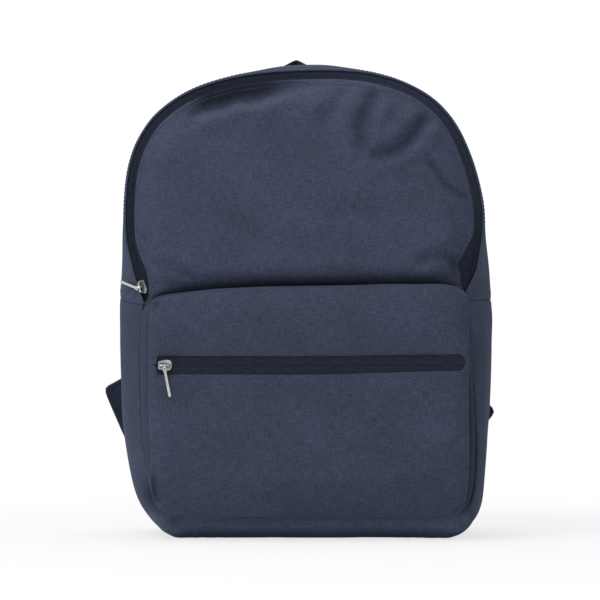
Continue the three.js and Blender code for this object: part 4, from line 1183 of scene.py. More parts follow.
# the cloth rolls in behind the pocket's top edge
P_FLAP[..., 1] += 3.0 * bell((Z - 213) / 8.0) + 0.9 * ease((210 - Z) / 6)
# painted shade beside the zip's right foot
fold += 0.55 * np.exp(-(((X - 128.0) / 6.5) ** 2) - (((Z - 230.5) / 7.0) ** 2))
# painted shadow on the cloth just above the pocket's top edge, wider on the left
pocket_top = FACE[FACE[:, 1] > 190]
pocket_top = pocket_top[np.argsort(pocket_top[:, 0])]
above = Z - np.interp(X, pocket_top[:, 0], pocket_top[:, 1])
to_right = ease(X / 60)
fold += (0.58 - 0.22 * to_right) * ease((9.5 - 4.5 * to_right - above) / 8.0) * (above > -6)
HINGE = ("shell", "flap", (0, -0.0565, 0.2165), (0, -0.0565, 0.2275))
o = sheet("front_cloth", P_FLAP, (0, -1, 0), M_HEATHER, uv=P_FLAP[..., [0, 2]],
          fold=np.clip(fold, 0, 0.92))
mount(o, HINGE, "heather", "front_flap")

# lining of the front panel: it lies just behind the cloth, from the fold up to the zip
LINING_FOOT = 224.5
rows = []
for u in np.linspace(0.025, 0.975, 70):
    i = u * (P_FLAP.shape[0] - 1)
    i0 = min(int(i), P_FLAP.shape[0] - 2)
    column = P_FLAP[i0] * (1 - (i - i0)) + P_FLAP[i0 + 1] * (i - i0)
    z_end = np.interp(0.962, np.linspace(0, 1, len(column)), column[:, 2])
    z = LINING_FOOT + (z_end - LINING_FOOT) * np.linspace(0, 1, 46)
    rows.append(interp_rows(z, column[:, 2], column))
P = np.stack(rows)
# never nearer than the cloth behind any of its folds
deep = P[..., 1].copy()
for _ in range(2):
    deep[1:-1] = np.maximum(deep[1:-1], np.maximum(deep[:-2], deep[2:]) - 0.4)
    deep[:, 1:-1] = np.maximum(deep[:, 1:-1], np.maximum(deep[:, :-2], deep[:, 2:]) - 0.4)
P[..., 1] = deep + 3.0
P[..., 0] *= 0.995
o = sheet("front_cloth_lining", P, (0, 1, 0), M_LINING, 0.6, uv=P[..., [0, 2]])
mount(o, "flap", "lining", "flap_lining")

# ------------------------------------------------------------------ main zip
# across a tape half: share of its width, rise (thicker at the chain edge)
TAPE_SHARE = np.array([0, 0.06, 0.2, 0.45, 0.7, 0.9, 1.0])
TAPE_RISE = np.array([0.0, 0.16, 0.10, 0.0, 0.0, 0.04, 0.0])


def tape_grid(chain, across, out, near, far):
    """Tape half between two offsets from its chain: the offsets and the points."""
    near = np.broadcast_to(near, len(chain))
    far = np.broadcast_to(far, len(chain))
    offset = near[:, None] + (far - near)[:, None] * TAPE_SHARE[None]
    P = chain[:, None] + across[:, None] * offset[..., None]
    return offset, P + out[:, None] * TAPE_RISE[None, :, None]


def tape_sheet(name, offset, P, along, out, **shading):
    uv = np.stack([offset, np.broadcast_to(along[:, None], offset.shape)], -1)
    return sheet(name, P, out, M_TAPE, 0.7, uv=uv, levels=0, sharp=40, **shading)


# painted shade and painted light on the main zip's tapes: shade over the left of the top and down
# the left side, painted light over the right of the top and down the right side, a little shade
# near the right foot
x, z = CHAIN[:, 0], CHAIN[:, 2]
over_top = np.interp(x, [-100, -88, -20, 0, 40, 90], [0.22, 0.5, 0.42, 0.15, 0.0, -0.45])
right_side = -0.5 * ease((z - 250) / 24) + 0.18 * ease((256 - z) / 20)
shade = over_top * (z > 330) + np.where(x < 0, 0.28, right_side) * (z <= 330)
TAPE_SHADE = np.convolve(np.pad(shade, 6, "edge"), np.ones(13) / 13, "valid")


def main_tape(name, near, far):
    offset, P = tape_grid(CHAIN, ACROSS, TAPE_OUT, near, far)
    P[..., 1] += math.sin(TILT) * np.maximum(0, offset - 4.6)
    P[..., 1] += 2.6 * bell((P[..., 2] - 213) / 8.0) * ease((offset - 3) / 4)
    fold = TAPE_SHADE[:, None] + 0 * offset
    return tape_sheet(name, offset, P, arc(CHAIN), TAPE_OUT[:, None], fold=fold, fold_min=-0.8)


mount(main_tape("zip_tape_rear", -0.16, -6.3), "shell", "tape", "main_zip_tape_rear")
mount(main_tape("zip_tape_front", 0.16, 6.8 + NOTCH * 1.05), HINGE, "tape",
      "main_zip_tape_front", "main_zip_end_left", "main_zip_end_right")


def coil(name, chain, across, out, side):
    """One half of a zip chain: a flattened spiral sewn to the tape's edge."""
    pitch, reach, height, per_turn = 1.35, 1.35, 0.72, 7
    s = arc(chain)
    i = np.arange(int((s[-1] - 8) / pitch) * per_turn + 1)
    q = 4 + i / per_turn * pitch
    a = 2 * np.pi * i / per_turn
    c, b, n = (interp_rows(q, s, rows) for rows in (chain, across, out))
    path = c + b * (side * (0.45 + reach) + reach * np.cos(a))[:, None]
    path = path + n * (-1.80 + height * np.sin(a))[:, None]
    t = tangents(path)
    u = unit(np.cross(t, n))
    return sweep(name, path, u, np.cross(t, u), circle(0.27, 4), M_COIL, sharp=None)


for name, rows, side, body, node in (
    ("zip_chain_rear", slice(4, -4), -1, "shell", "main_zip_coil_rear"),
    ("zip_chain_front", CHAIN[:, 2] > HINGE_Z + 3, 1, "flap", "main_zip_coil_front"),
):
    o = coil(name, CHAIN[rows], ACROSS[rows], TAPE_OUT[rows], side)
    mount(o, body, "coil", node)

# ------------------------------------------------------------------ pocket side
seam_side = nearest(FACE, SEAM, closed=False)[0]
k = ease((FACE[:, 1] - 191) / 11)[:, None]
back = seam_side * (1 - k) + (FACE + FACE_OUT * 1.2) * k
back[:, 1] = np.where(FACE[:, 1] > 202, np.minimum(back[:, 1], 217), back[:, 1])
y_back, y_face = FRONT_Y - 0.9, POCKET_Y + 3.0
drop = pocket_drop(FACE[:, 1])
bulge = np.where(FACE[:, 1] > 200, 1.6, 0.9)
rows = []
for t in (0.0, 0.05, 0.12, 0.22, 0.34, 0.46, 0.58, 0.68, 0.78, 0.86, 0.91):
    swell = bulge * math.sin(math.pi * t) - 1.3 * (1 - t) ** 8
    xz = back * (1 - t) + FACE * t + FACE_OUT * swell[:, None]
    rows.append(at_y(xz, y_back + (y_face + drop - y_back) * t))
# the front edge turns in under the face: outward, y offset
for outward, dy in ((-0.5, 1.2), (-1.4, 0.9), (-2.6, 1.2)):
    rows.append(at_y(FACE + FACE_OUT * outward, y_face + dy + drop))
P = np.stack(rows, 1)
columns = np.arange(P.shape[1])
# at the right it reaches back into the groove, to the seam
deep = 7.2 * ease((FACE[:, 1] - 20) / 24) * ease((190 - FACE[:, 1]) / 30) * (FACE[:, 0] > 100)
P[..., 1] += deep[:, None] * np.interp(columns, [0, 1, 3, 8], [1, 0.92, 0.6, 0])[None]
out = at_y(FACE_OUT)[:, None]
across = np.sin(np.linspace(0, math.pi, P.shape[1]))[None] ** 0.7
P += out * (0.7 * noise2(P.shape[:2], (26, 2), 61, 2) * across)[..., None]
# painted shade on the pocket's side: deep in the groove on the right, lighter on the left, fading
# out towards the face
shade = 0.66 * ease((FACE[:, 1] - 22) / 14) * (0.45 + 0.55 * ease((198 - FACE[:, 1]) / 40))
shade = shade * ease((208 - FACE[:, 1]) / 8) * (FACE[:, 0] > 100) + 0.3 * (FACE[:, 0] < -100)
fade = np.interp(columns, [0, 8, 10, 11, 12, 13], [1, 1.0, 0.97, 0.85, 0.5, 0.2])
o = sheet("pocket_side_cloth", P, out, M_POCKET, 1.0, closed=True, fold=shade[:, None] * fade)
mount(o, "shell", "heather", "pocket_gusset")

# ------------------------------------------------------------------ pocket face
FACE_EDGE = FACE + FACE_OUT * 0.15
# points (x, z), depth, width, ridge, fade
LOWER_CREASES = [
    (((-122.825, 31.45), (-126.225, 43.35), (-124.525, 56.95), (-129.625, 72.25)),
     2.4, 4.5, 0.6, 0.18),
    (((-105.825, 56.95), (-88.825, 43.35), (-54.825, 38.25)), 1.2, 9.0, 0.5, 0.18),
    (((127.925, 56.95), (106.675, 45.05), (72.675, 39.95)), 1.0, 9.0, 0.5, 0.18),
    (((-3.825, 116.45), (30.175, 106.25), (64.175, 109.65)), 0.7, 11.0, 0.4, 0.4),
]
UPPER_CREASES = [
    (((130.475, 201.45), (115.175, 196.35), (102.425, 186.15)), 1.1, 7.0, 0.5, 0.18),
    (((-114.325, 201.45), (-97.325, 186.15), (-92.225, 167.45)), 0.9, 8.0, 0.5, 0.18),
]
CORNER_CREASE = [  # bottom left corner
    (((-129.625, 63.75), (-127.925, 53.55), (-126.225, 43.35), (-121.975, 33.15),
      (-117.725, 24.65)), 0.8, 6.0, 0.5, 0.35),
]
# painted shade lines, given like creases, so their depth is negative
LOWER_SHADE = [
    (((-132.175, 60.35), (-131.325, 48.45), (-128.775, 37.4), (-124.525, 28.05)),
     -0.85, 7.0, 0.0, 0.35),
    (((120.275, 22.1), (128.775, 23.8), (137.275, 28.05), (142.375, 34.85)),
     -0.45, 3.2, 0.0, 0.35),
]
UPPER_SHADE = [(((-127.925, 204.85), (-124.525, 198.9), (-122.825, 192.95)),
                -0.5, 3.0, 0.0, 0.35)]


def zip_lip(x):
    """Height of the pocket zip's lips: the band climbs slightly to its rounded right end."""
    r = ease((x + 10) / 150)
    lo, hi = ZIP_Z - 8.0 + 3.4 * r, ZIP_Z + 7.7 + 1.9 * r
    mid = 0.5 * (lo + hi)
    spread = np.sqrt(1 - 0.999 * np.clip((x - 129.6) / 4.8, 0, 1) ** 2)
    spread = spread * (1 - 0.97 * np.clip((-123.0 - x) / 0.7, 0, 1))
    return mid + (lo - mid) * spread, mid + (hi - mid) * spread


def pocket_grid(lower, xs, lip_z):
    """Front-view grid of the panel between the pocket's edge and a lip of its zip."""

    def edge_index(on_side, z):
        return int(np.where(on_side, np.abs(FACE_EDGE[:, 1] - z), 1e9).argmin())

    z_left, z_right = lip_z[2], lip_z[-2]
    i_left = edge_index(FACE_EDGE[:, 0] < 0, z_left)
    i_right = edge_index(FACE_EDGE[:, 0] > 0, z_right)
    x_left, x_right = FACE_EDGE[i_left, 0], FACE_EDGE[i_right, 0]
    inside = (xs > x_left + 0.3) & (xs < x_right - 0.3)
    lip = np.vstack(
        [[x_left, z_left], np.stack([xs[inside], lip_z[inside]], 1), [x_right, z_right]]
    )
    tu = spacing(266.0, step=3.0)
    if lower:
        a, b = index_near(FACE_EDGE, (-121, 33)), index_near(FACE_EDGE, (131, 29))
        left = run_between(FACE_EDGE, a, i_left)
        right = run_between(FACE_EDGE, i_right, b)[::-1]
        bottom = run_between(FACE_EDGE, b, a)[::-1]
        return coons(left, right, bottom, lip, tu, spacing(120.0, step=3.0))
    a, b = index_near(FACE_EDGE, (-124, 203)), index_near(FACE_EDGE, (130, 210))
    left = run_between(FACE_EDGE, i_left, a)
    right = run_between(FACE_EDGE, b, i_right)[::-1]
    return coons(left, right, lip, run_between(FACE_EDGE, a, b), tu, spacing(58.0, step=3.0))


def pocket_panel(name, node, lower, seed):
    xs = np.linspace(-131, 138.6, 520)
    lip_z = zip_lip(xs)[0 if lower else 1]
    G = pocket_grid(lower, xs, lip_z)
    X, Z = G[..., 0], G[..., 1]
    from_edge = grid_distance(G, FACE_EDGE)
    from_zip = np.abs(Z - np.interp(X, xs, lip_z))
    edge_column, zip_column = (0, -1) if lower else (-1, 0)
    from_edge[0] = from_edge[-1] = 0
    from_edge[:, edge_column] = 0
    from_zip[:, zip_column] = 0
    crisp = 0.15 + 0.85 * ease((X + 118) / 30)  # the left edge is the softest
    edge_h = np.interp(
        from_edge,
        [0, 0.35, 0.9, 1.8, 3.2, 5.4, 8.5, 13.0],
        [-4.4, -3.5, -2.75, -1.9, -1.0, -0.1, 0.5, 0.9],
    ) + crisp * np.interp(from_edge, [0, 0.5, 1.3, 2.6, 4.4], [0, 0.45, 0.75, 0.4, 0])
    # at the zip the lip rolls under, except where it is shut beyond the zip's ends
    shut = np.clip((-123.4 - X) / 0.8, 0, 1) + np.clip((X - 133.6) / 1.0, 0, 1)
    zip_h = np.interp(from_zip, [0, 0.6, 1.5, 3.0, 6.0], [-0.9, 0.25, 0.7, 0.85, 0.9])
    shut_h = np.interp(from_zip, [0, 0.6, 1.5, 3.0], [0.35, 0.75, 0.85, 0.9])
    zip_h = zip_h + (shut_h - zip_h) * shut
    zip_h = np.where(from_zip < 8, zip_h + np.maximum(0, from_zip - 2) * 0.12, 9)
    h = np.minimum(edge_h, zip_h)
    puff = (4.2 if lower else 1.8) * (1 - np.exp(-from_edge / 22.0))
    puff = puff * (ease((116 - Z) / 40) if lower else 1 - np.exp(-from_zip / 22.0))
    P = at_y(G, POCKET_Y - h - puff + pocket_drop(Z))
    d = np.minimum(from_edge, from_zip)
    P = relax(
        P, d < 4.0, slack_u=0.006 + 0.003 * noise2(X.shape, (8, 5), seed), slack_v=0.005,
        pressure=0.010, steps=90, cap=5.0, seed=seed,
    )
    X, Z = P[..., 0], P[..., 2]
    relief = 0.8 * noise2(X.shape, (8, 5 if lower else 3), seed + 3, 3)
    relief += creases(X, Z, LOWER_CREASES if lower else UPPER_CREASES)
    relief *= ease(d / 10.0)
    if lower:
        # the pull bar hangs clear of the cloth all along the zip
        P[..., 1] = np.maximum(P[..., 1], -82.0 - 5.0 * ease((116 - Z) / 40))
        relief *= 0.25 + 0.75 * ease((118 - Z) / 24)
        relief += creases(X, Z, CORNER_CREASE) * ease(from_edge / 4.0)
    P[..., 1] -= relief
    # painted shade along those lines
    fold = creases(X, Z, LOWER_SHADE if lower else UPPER_SHADE)
    o = sheet(name, P, (0, -1, 0), M_POCKET, uv=P[..., [0, 2]], fold=fold)
    mount(o, "shell", "heather", node)
    return P


P_POCKET_LOW = pocket_panel("pocket_face_lower", "pocket_lower_panel", lower=True, seed=71)
P_POCKET_UP = pocket_panel("pocket_face_upper", "pocket_upper_panel", lower=False, seed=81)

# pocket zip tapes: straight, under the lips
zip_x = np.linspace(-127.4, 135.3, 120)
POCKET_CHAIN = np.stack([zip_x, np.full(120, POCKET_TAPE_Y), np.full(120, ZIP_Z)], 1)
POCKET_UP = np.tile([0, 0, 1.0], (120, 1))
POCKET_OUT = np.tile([0, -1.0, 0], (120, 1))
for half, near, far in (("upper", 0.14, 11.0), ("lower", -0.14, -9.6)):
    offset, P = tape_grid(POCKET_CHAIN, POCKET_UP, POCKET_OUT, near, far)
    o = tape_sheet("pocket_tape_" + half, offset, P, zip_x, (0, -1, 0))
    mount(o, "shell", "tape", "pocket_zip_tape_" + half)

# lining pouch of the pocket: a wall round its edge and a front sheet
POUCH_BACK, POUCH_FRONT = -60.4, -74.6
loop, loop_out = FACE[::3], FACE_OUT[::3]
wall = loop - loop_out * (4.2 - 1.8 * ease((loop[:, 0] - 90) / 30))[:, None]
reach = POUCH_FRONT - POUCH_BACK + pocket_drop(loop[:, 1])
P = np.stack([at_y(wall, POUCH_BACK + reach * t) for t in (0.0, 0.25, 0.5, 0.75, 1.0)], 1)
pouch_wall = sheet("pouch_wall", P, -at_y(loop_out)[:, None], M_LINING, 0.5, closed=True)
loop = loop - loop_out * 4.0
corners = [index_near(loop, p) for p in ((-121, 33), (-121, 200), (128, 206), (130, 30))]
G = loop_patch(loop, *corners, np.linspace(0, 1, 40), np.linspace(0, 1, 30))
P = at_y(G, POUCH_FRONT + pocket_drop(G[..., 1]) + 0.8 * noise2(G.shape[:2], (8, 6), 77, 2))
pouch_front = sheet("pouch_front", P, (0, 1, 0), M_LINING, 0.5)
o = merge("pocket_pouch", [pouch_wall, pouch_front], M_LINING)
mount(o, "shell", "lining", "pocket_lining")
for half, side in (("upper", 1), ("lower", -1)):
    o = coil("pocket_chain_" + half, POCKET_CHAIN, POCKET_UP, POCKET_OUT, side)
    mount(o, "shell", "coil", "pocket_zip_coil_" + half)

# ------------------------------------------------------------------ inside: linings, wall, sleeve
ring, ring_out = RING[::3], RING_OUT[::3]
depths = np.array([0.0, 0.08, 0.2, 0.35, 0.5, 0.65, 0.8, 0.92, 1.0])
low = 1 - ease((ring[:, 1] - 225) / 60)
y_front = front_y(ring[:, 1]) + 15.0
rows = []
for t in depths:
    inset = np.interp(t, [0.75, 1.0], [0, 1]) * 5.0 + 4.6
    inset = inset + (5.0 + 7.4 * low) * max(0, 1 - t / 0.25) ** 1.5
    rows.append(at_y(ring - ring_out * inset[:, None], y_front + (46.5 - y_front) * t))
P = np.stack(rows, 1)
inward = -at_y(ring_out)[:, None]
sag = np.sin(np.linspace(0, math.pi, len(depths)))[None]
P += inward * (0.9 * np.abs(noise2(P.shape[:2], (40, 4), 91, 2)) * sag)[..., None]
o = sheet("body_lining_cloth", P, inward, M_LINING, 0.6, closed=True)
mount(o, "shell", "lining", "body_lining")


def flat_lining(name, node, facing, y, thick, waviness, seed, sag=0.0):
    """Lining cloth with a flat CAD node's front-view shape. facing: 1 to +y, -1 to -y."""
    co = np.array([v.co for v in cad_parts[node].data.vertices], float) / MM
    lo, hi = co.min(0)[[0, 2]], co.max(0)[[0, 2]]
    centre, (w, h) = (lo + hi) / 2, (hi - lo) / 2

    def angle(points):
        return np.arctan2(points[:, 1] - centre[1], points[:, 0] - centre[0])

    points = co[:, [0, 2]]
    loop = points[np.argsort(-angle(points))]
    keep = [0]
    for i in range(1, len(loop)):
        if np.linalg.norm(loop[i] - loop[keep[-1]]) > 0.5:
            keep.append(i)
    loop = resample(loop[keep], 400, True)
    around = angle(loop)
    corners = []
    for sx, sy in ((-1, -1), (-1, 1), (1, 1), (1, -1)):
        off = around - math.atan2(sy * h * 0.95, sx * w * 0.95)
        corners.append(int(np.abs(np.angle(np.exp(1j * off))).argmin()))
    tu, tv = (np.linspace(0, 1, int(2 * half / 5.0) + 2) for half in (w, h))
    G = loop_patch(loop, *corners, tu, tv)
    X, Z = G[..., 0], G[..., 1]
    across = np.clip((X + SLEEVE_HALF) / (2 * SLEEVE_HALF), 0, 1)
    Y = y - sag * np.sin(np.pi * across) * ease((Z - 40) / 120)
    Y = Y + facing * waviness * noise2(X.shape, (9, 9), seed, 2) * ease(
        grid_distance(G, loop) / 15
    )
    o = sheet(name, at_y(G, Y), (0, facing, 0), M_LINING, thick, uv=G)
    mount(o, "shell", "lining", node)


flat_lining("front_wall_cloth", "front_wall", 1, FRONT_Y + 2.6, thick=1.4, waviness=0.8, seed=101)
flat_lining("back_lining_cloth", "back_lining", -1, 49.3, thick=0.6, waviness=0.3, seed=102)
flat_lining("sleeve_cloth", "inner_sleeve", -1, 38.4, thick=0.8, waviness=0.9, seed=103,
            sag=SLEEVE_SAG)
x = np.linspace(-SLEEVE_HALF, SLEEVE_HALF, 80)
y = 38.6 - SLEEVE_SAG * np.sin(np.pi * (x + SLEEVE_HALF) / (2 * SLEEVE_HALF))
o = sweep("sleeve_binding_tape", np.stack([x, y, np.full(80, 217.5)], 1), (0, 0, 1.0),
          (0, 1.0, 0), rounded_rect(8, 1.9, 0.8), M_BIND)
mount(o, "shell", "tape", "inner_sleeve_binding")
o = sweep("back_seam_tape", at_y(ring, 47.6) - at_y(ring_out) * 15.5, at_y(ring_out),
          (0, 1.0, 0), rounded_rect(9, 1.5, 0.6), M_BIND, closed=True)
mount(o, "shell", "tape", "back_seam_binding")

# ------------------------------------------------------------------ back panel, padded
loop = RING - RING_OUT * (BACK_INSET + 0.9)
corners = [index_near(loop, p) for p in ((-118, 18), (-116, 352), (114, 352), (124, 16))]
G = loop_patch(loop, *corners, spacing(270.0, step=3.6), spacing(360.0, step=3.6))
d = grid_distance(G, loop)
d[0] = d[-1] = 0
d[:, 0] = d[:, -1] = 0
h = np.interp(d, [0, 0.7, 1.8, 3.4, 6.0], [-0.6, 0.3, 0.8, 1.0, 1.0])
h = h + 2.4 * (1 - np.exp(-np.maximum(0, d - 4) / 9.0))
# turned over so that its normals face back
P, from_back_edge = at_y(G, BACK_Y + h)[:, ::-1], d[:, ::-1]
P = relax(
    P, from_back_edge < 4.5, slack_u=0.004 + 0.002 * noise2(d.shape, (9, 12), 111),
    slack_v=0.004, pressure=0.008, steps=80, cap=2.2, seed=111,
)
P[..., 1] += 0.5 * noise2(P.shape[:2], (9, 11), 117, 3) * ease((from_back_edge - 4) / 14)
# sewn border channel and the shallow hollow down the spine
CHANNEL = 8.5
P[..., 1] -= 1.1 * bell((from_back_edge - CHANNEL) / 1.8)
spine = bell(P[..., 0] / 16) * ease((P[..., 2] - 30) / 50) * ease((330 - P[..., 2]) / 50)
P[..., 1] -= 0.8 * spine
P[..., 1] = np.minimum(P[..., 1], 61.4)
P_BACK = P
o = sheet("back_cloth", P, (0, 1, 0), M_HEATHER, 1.4, uv=P[..., [0, 2]])
mount(o, "shell", "heather", "back_panel")

# piping round the back seam
pipe = at_y((RING - RING_OUT * 9.3)[::2], BACK_Y + 1.0)
o = sweep("back_piping", pipe, at_y(RING_OUT[::2]), (0, 1.0, 0), circle(1.5, 10), M_BIND,
          closed=True, sharp=None)
mount(o, "shell", "tape")


# ------------------------------------------------------------------ yoke, straps, webbing
def trapezoid(name, node, x, half_bottom, half_top, z0, z1, y, thick, crown, step):
    """Flat patch of body cloth on the back, centred on x between heights z0 and z1."""
    width, height = 2 * half_bottom, math.hypot(half_top - half_bottom, z1 - z0)
    edge = (0, 0.5, 1.4, 2.6)
    tu, tv = spacing(width, step, edge), spacing(height, step, edge)
    a, b = (x - half_bottom, z0), (x + half_bottom, z0)
    c, d = (x + half_top, z1), (x - half_top, z1)
    G = coons(*(np.array(side, float) for side in ((a, d), (b, c), (a, b), (d, c))), tu, tv)
    du = np.minimum(tu, 1 - tu)[:, None] * width
    dv = np.minimum(tv, 1 - tv)[None] * height
    h = np.interp(np.minimum(du, dv), [0, 0.5, 1.4, 2.6, 5], [-0.8, 0.2, 0.7, 0.8, 0.8 + crown])
    P = at_y(G, y + h + 0.15 * noise2(G.shape[:2], (10, 3), 7, 2))
    o = sheet(name, P, (0, 1, 0), M_HEATHER, thick, uv=G)
    mount(o, "shell", "heather", node)
    return P


P_YOKE = trapezoid("yoke_cloth", "strap_yoke", x=0, half_bottom=90, half_top=77, z0=347,
                   z1=371.5, y=61.4, thick=1.6, crown=0.4, step=3.0)

# Centre lines of the shoulder pads, from the yoke down: x, y, z
PADS = {
    "left": [(-50, 66.5, 346), (-56, 72, 318), (-62, 77, 286), (-68, 79, 250), (-77, 78, 212),
             (-91, 75, 174), (-110.5, 71.5, 138), (-134, 69, 112.8), (-160.3, 68, 100.8)],
    "right": [(50, 66.5, 346), (56, 72, 318), (62, 77, 286), (68, 79, 248), (77, 78, 208),
              (90, 75, 170), (106, 71.5, 133.5), (125.5, 69, 105.5), (145.6, 68, 86.6)],
}
PAD_ROWS = 110
BIND_ROWS = 260
WEB_W = 24
# Ladder lock tab, down its face and round the lock's bar: z above the lock, y
LOCK_TAB = np.array([
    (26, 76.0), (20, 76.4), (12, 76.6), (5, 76.8), (0.5, 76.9), (-1.8, 77.3), (-2.8, 78.8),
    (-2.2, 80.8), (-0.6, 82.0),
])


def pad(side, sign):
    body = "strap_" + side
    C = curve(PADS[side], PAD_ROWS)
    T = tangents(C)
    U = unit(np.cross(np.array([0, 1.0, 0]), T))
    F = np.cross(T, U)  # outer face direction
    s = np.linspace(0, 1, PAD_ROWS)
    half = 56 * (0.86 + 0.14 * ease(s / 0.12)) * (1 - 0.06 * ease((s - 0.95) / 0.05)) / 2
    v = np.concatenate(
        [np.linspace(-1, -0.86, 4), np.linspace(-0.8, 0.8, 17), np.linspace(0.86, 1, 4)]
    )
    offset = v[None] * half[:, None]
    crown = (1 - np.abs(v) ** 3.2) ** 0.75
    ends = ease(s / 0.03)[:, None] * ease((1 - s) / 0.03)[:, None]
    soft = 0.55 * noise2(offset.shape, (9, 2), 131 + sign, 2) * (1 - np.abs(v[None]) ** 4)
    height = 2.0 + (3.6 * crown[None] + soft * 0.6) * (0.55 + 0.45 * ends)
    # two sewn channels run down the pad's outer face
    channel = 0.9 * bell((np.abs(v[None]) * half[:, None] - (half[:, None] - 7.0)) / 1.3)
    uv = np.stack([offset, np.broadcast_to(s[:, None] * 300, offset.shape)], -1)
    base = C[:, None] + U[:, None] * (v[None] * (half[:, None] - 0.6))[..., None]
    out = F[:, None]
    face = base + out * (height - channel)[..., None]
    o = sheet("pad_face_" + side, face, out, M_HEATHER, 1.2, uv=uv)
    mount(o, body, "heather", "strap_face_" + side, "strap_foam_" + side)
    for share in (-0.76, 0.76):
        sew_grid(body, face, out, np.s_[2:-3, int(np.abs(v - share).argmin())])
    inner = base - out * height[..., None]
    o = sheet("pad_mesh_" + side, inner, -out, M_MESH, 1.2, uv=uv)
    mount(o, body, "mesh", "strap_mesh_" + side)
    # binding: U-shaped edge tape down one side, round the end and up the other
    reach = half - 0.3
    a = np.linspace(0, math.pi, 17)[1:-1]
    end_across = reach[-1] * np.sign(np.cos(a)) * np.abs(np.cos(a)) ** 0.35
    end = C[-1] + U[-1] * end_across[:, None] + T[-1] * (3.6 * np.sin(a) ** 0.45)[:, None]
    sideways = U * reach[:, None]
    path = resample(np.vstack([C + sideways, end, (C - sideways)[::-1]]), BIND_ROWS)
    t = tangents(path)
    up = np.vstack([F, np.repeat(F[-1:], len(a), 0), F[::-1]])
    up = up[np.linspace(0, len(up) - 1, BIND_ROWS).astype(int)]
    up = unit(up - t * (up * t).sum(1)[:, None])
    section = [(-5.2, -2.9)]
    for angle in np.radians(np.linspace(-90, 90, 11)):
        section.append((0.2 + 2.2 * math.cos(angle), 3.1 * math.sin(angle)))
    section += [(-5.2, 2.9), (-5.2, 2.2), (-0.4, 2.3), (-0.4, -2.3), (-5.2, -2.2)]
    o = sweep("pad_binding_" + side, path, np.cross(up, t), up, section, M_BIND, sharp=45)
    mount(o, body, "tape", "strap_binding_" + side)


def web_frame(path):
    """Directions across a webbing that lies level in x, and through it."""
    t = tangents(path)
    across = unit(np.array([1.0, 0, 0]) - t * t[:, :1])
    return across, np.cross(t, across)


def webbing(name, path, frames, thick):
    return sweep(name, path, *frames, web_section(WEB_W, thick), M_WEB, sharp=None)


def lower_webbing(side, sign, lock_x, lock_z, anchor_x):
    """Lock tab, webbing from the corner anchor to the lock, its hanging tail, the anchor."""
    body = "strap_" + side
    tab = np.stack([np.full(len(LOCK_TAB), lock_x), LOCK_TAB[:, 1], lock_z + LOCK_TAB[:, 0]], 1)
    path = resample(tab, 40)
    o = webbing("lock_tab_web_" + side, path, web_frame(path), 1.4)
    mount(o, body, "webbing", "lock_tab_" + side)

    dx = lock_x - anchor_x
    path = curve(
        [
            (anchor_x, 63.6, 27),
            (anchor_x + dx * 0.08, 66.4, 35.5),
            (anchor_x + dx * 0.3, 68.8, 42),
            (anchor_x + dx * 0.8, 73.6, lock_z - 29),
            (lock_x, 75.4, lock_z - 17),
            (lock_x, 76.0, lock_z - 12),
        ],
        70,
    )
    o = webbing("webbing_lower_" + side, path, web_frame(path), 1.6)
    start, end = (lock_x * MM, 0.066, 0.036), (lock_x * MM, 0.0755, (lock_z - 16) * MM)
    mount(o, ("shell", body, start, end), "webbing", "webbing_run_" + side)

    q = np.linspace(0, 1, 50)
    x = lock_x + sign * 1.0 + 1.0 * np.sin(q * 3.0) * sign - sign * 9.0 * q**1.4
    y = 82.6 + 3.2 * np.sin(q * math.pi * 0.9) - 0.6 * q
    path = np.stack([x, y, lock_z - 19.5 - 53 * q], 1)
    across, through = web_frame(path)
    tail = webbing("tail", path, (across, through), 1.6)
    hem_path = path[-9:] + np.array([0, 1.5, 0])
    hem = webbing("hem", hem_path, (across[-9:], through[-9:]), 1.5)
    o = merge("webbing_tail_web_" + side, [tail, hem], M_WEB)
    mount(o, "tail_" + side, "webbing", "webbing_tail_" + side)

    trapezoid("corner_anchor_" + side, "strap_anchor_" + side, x=anchor_x, half_bottom=11,
              half_top=15, z0=14.5, z1=31, y=60.6, thick=1.8, crown=0.3, step=2.0)
    x = np.linspace(anchor_x - 12, anchor_x + 12, 30)
    for z in (27.5, 18.0):
        row = np.stack([x, np.full(30, 62.0), np.full(30, z)], 1)
        sew("shell", row, (0, 1.0, 0), pitch=3.0, length=2.3)
    # bar tacks on the tab
    x = np.linspace(lock_x - 10, lock_x + 10, 30)
    for dz in (6, 22):
        y = np.interp(dz, LOCK_TAB[::-1, 0], LOCK_TAB[::-1, 1]) + 0.75
        row = np.stack([x, np.full(30, y), np.full(30, lock_z + dz)], 1)
        sew(body, row, (0, 1.0, 0), pitch=1.6, length=1.5)


pad("left", -1)
lower_webbing("left", -1, lock_x=-134, lock_z=92, anchor_x=-108)
pad("right", 1)
lower_webbing("right", 1, lock_x=133, lock_z=82, anchor_x=116)

# haul loop: folded webbing standing out of the top of the back seam, narrower at its sewn ends
HAUL_W = 17
haul_lean = math.radians(60)
up = np.array([0, math.sin(haul_lean), math.cos(haul_lean)])
out = np.array([0, math.cos(haul_lean), -math.sin(haul_lean)])
a = math.pi * np.linspace(0, 1, 90)
x = -7 - 25 * (0.3 * np.cos(a) + 0.7 * np.cos(a) ** 3)
height = 34 * np.clip(np.sin(a), 1e-6, 1) ** 1.15
path = np.array([0, 63.6, 389.0])[None] + np.stack([x, 0 * x, 0 * x], 1)
path = path + up[None] * (height + 0.8)[:, None]
width = 9 + 8 * np.sqrt(np.clip(np.sin(a), 0, 1))
o = sweep("haul_loop_web", path, out * (width / HAUL_W)[:, None], np.cross(tangents(path), out),
          web_section(HAUL_W, 2.2, ribs=8), M_WEB, sharp=None)
mount(o, "haul", "webbing", "haul_loop")

# ------------------------------------------------------------------ sewn lines
sew_grid("shell", P_TOP, TOP_OUT, np.s_[3:-3, 7])
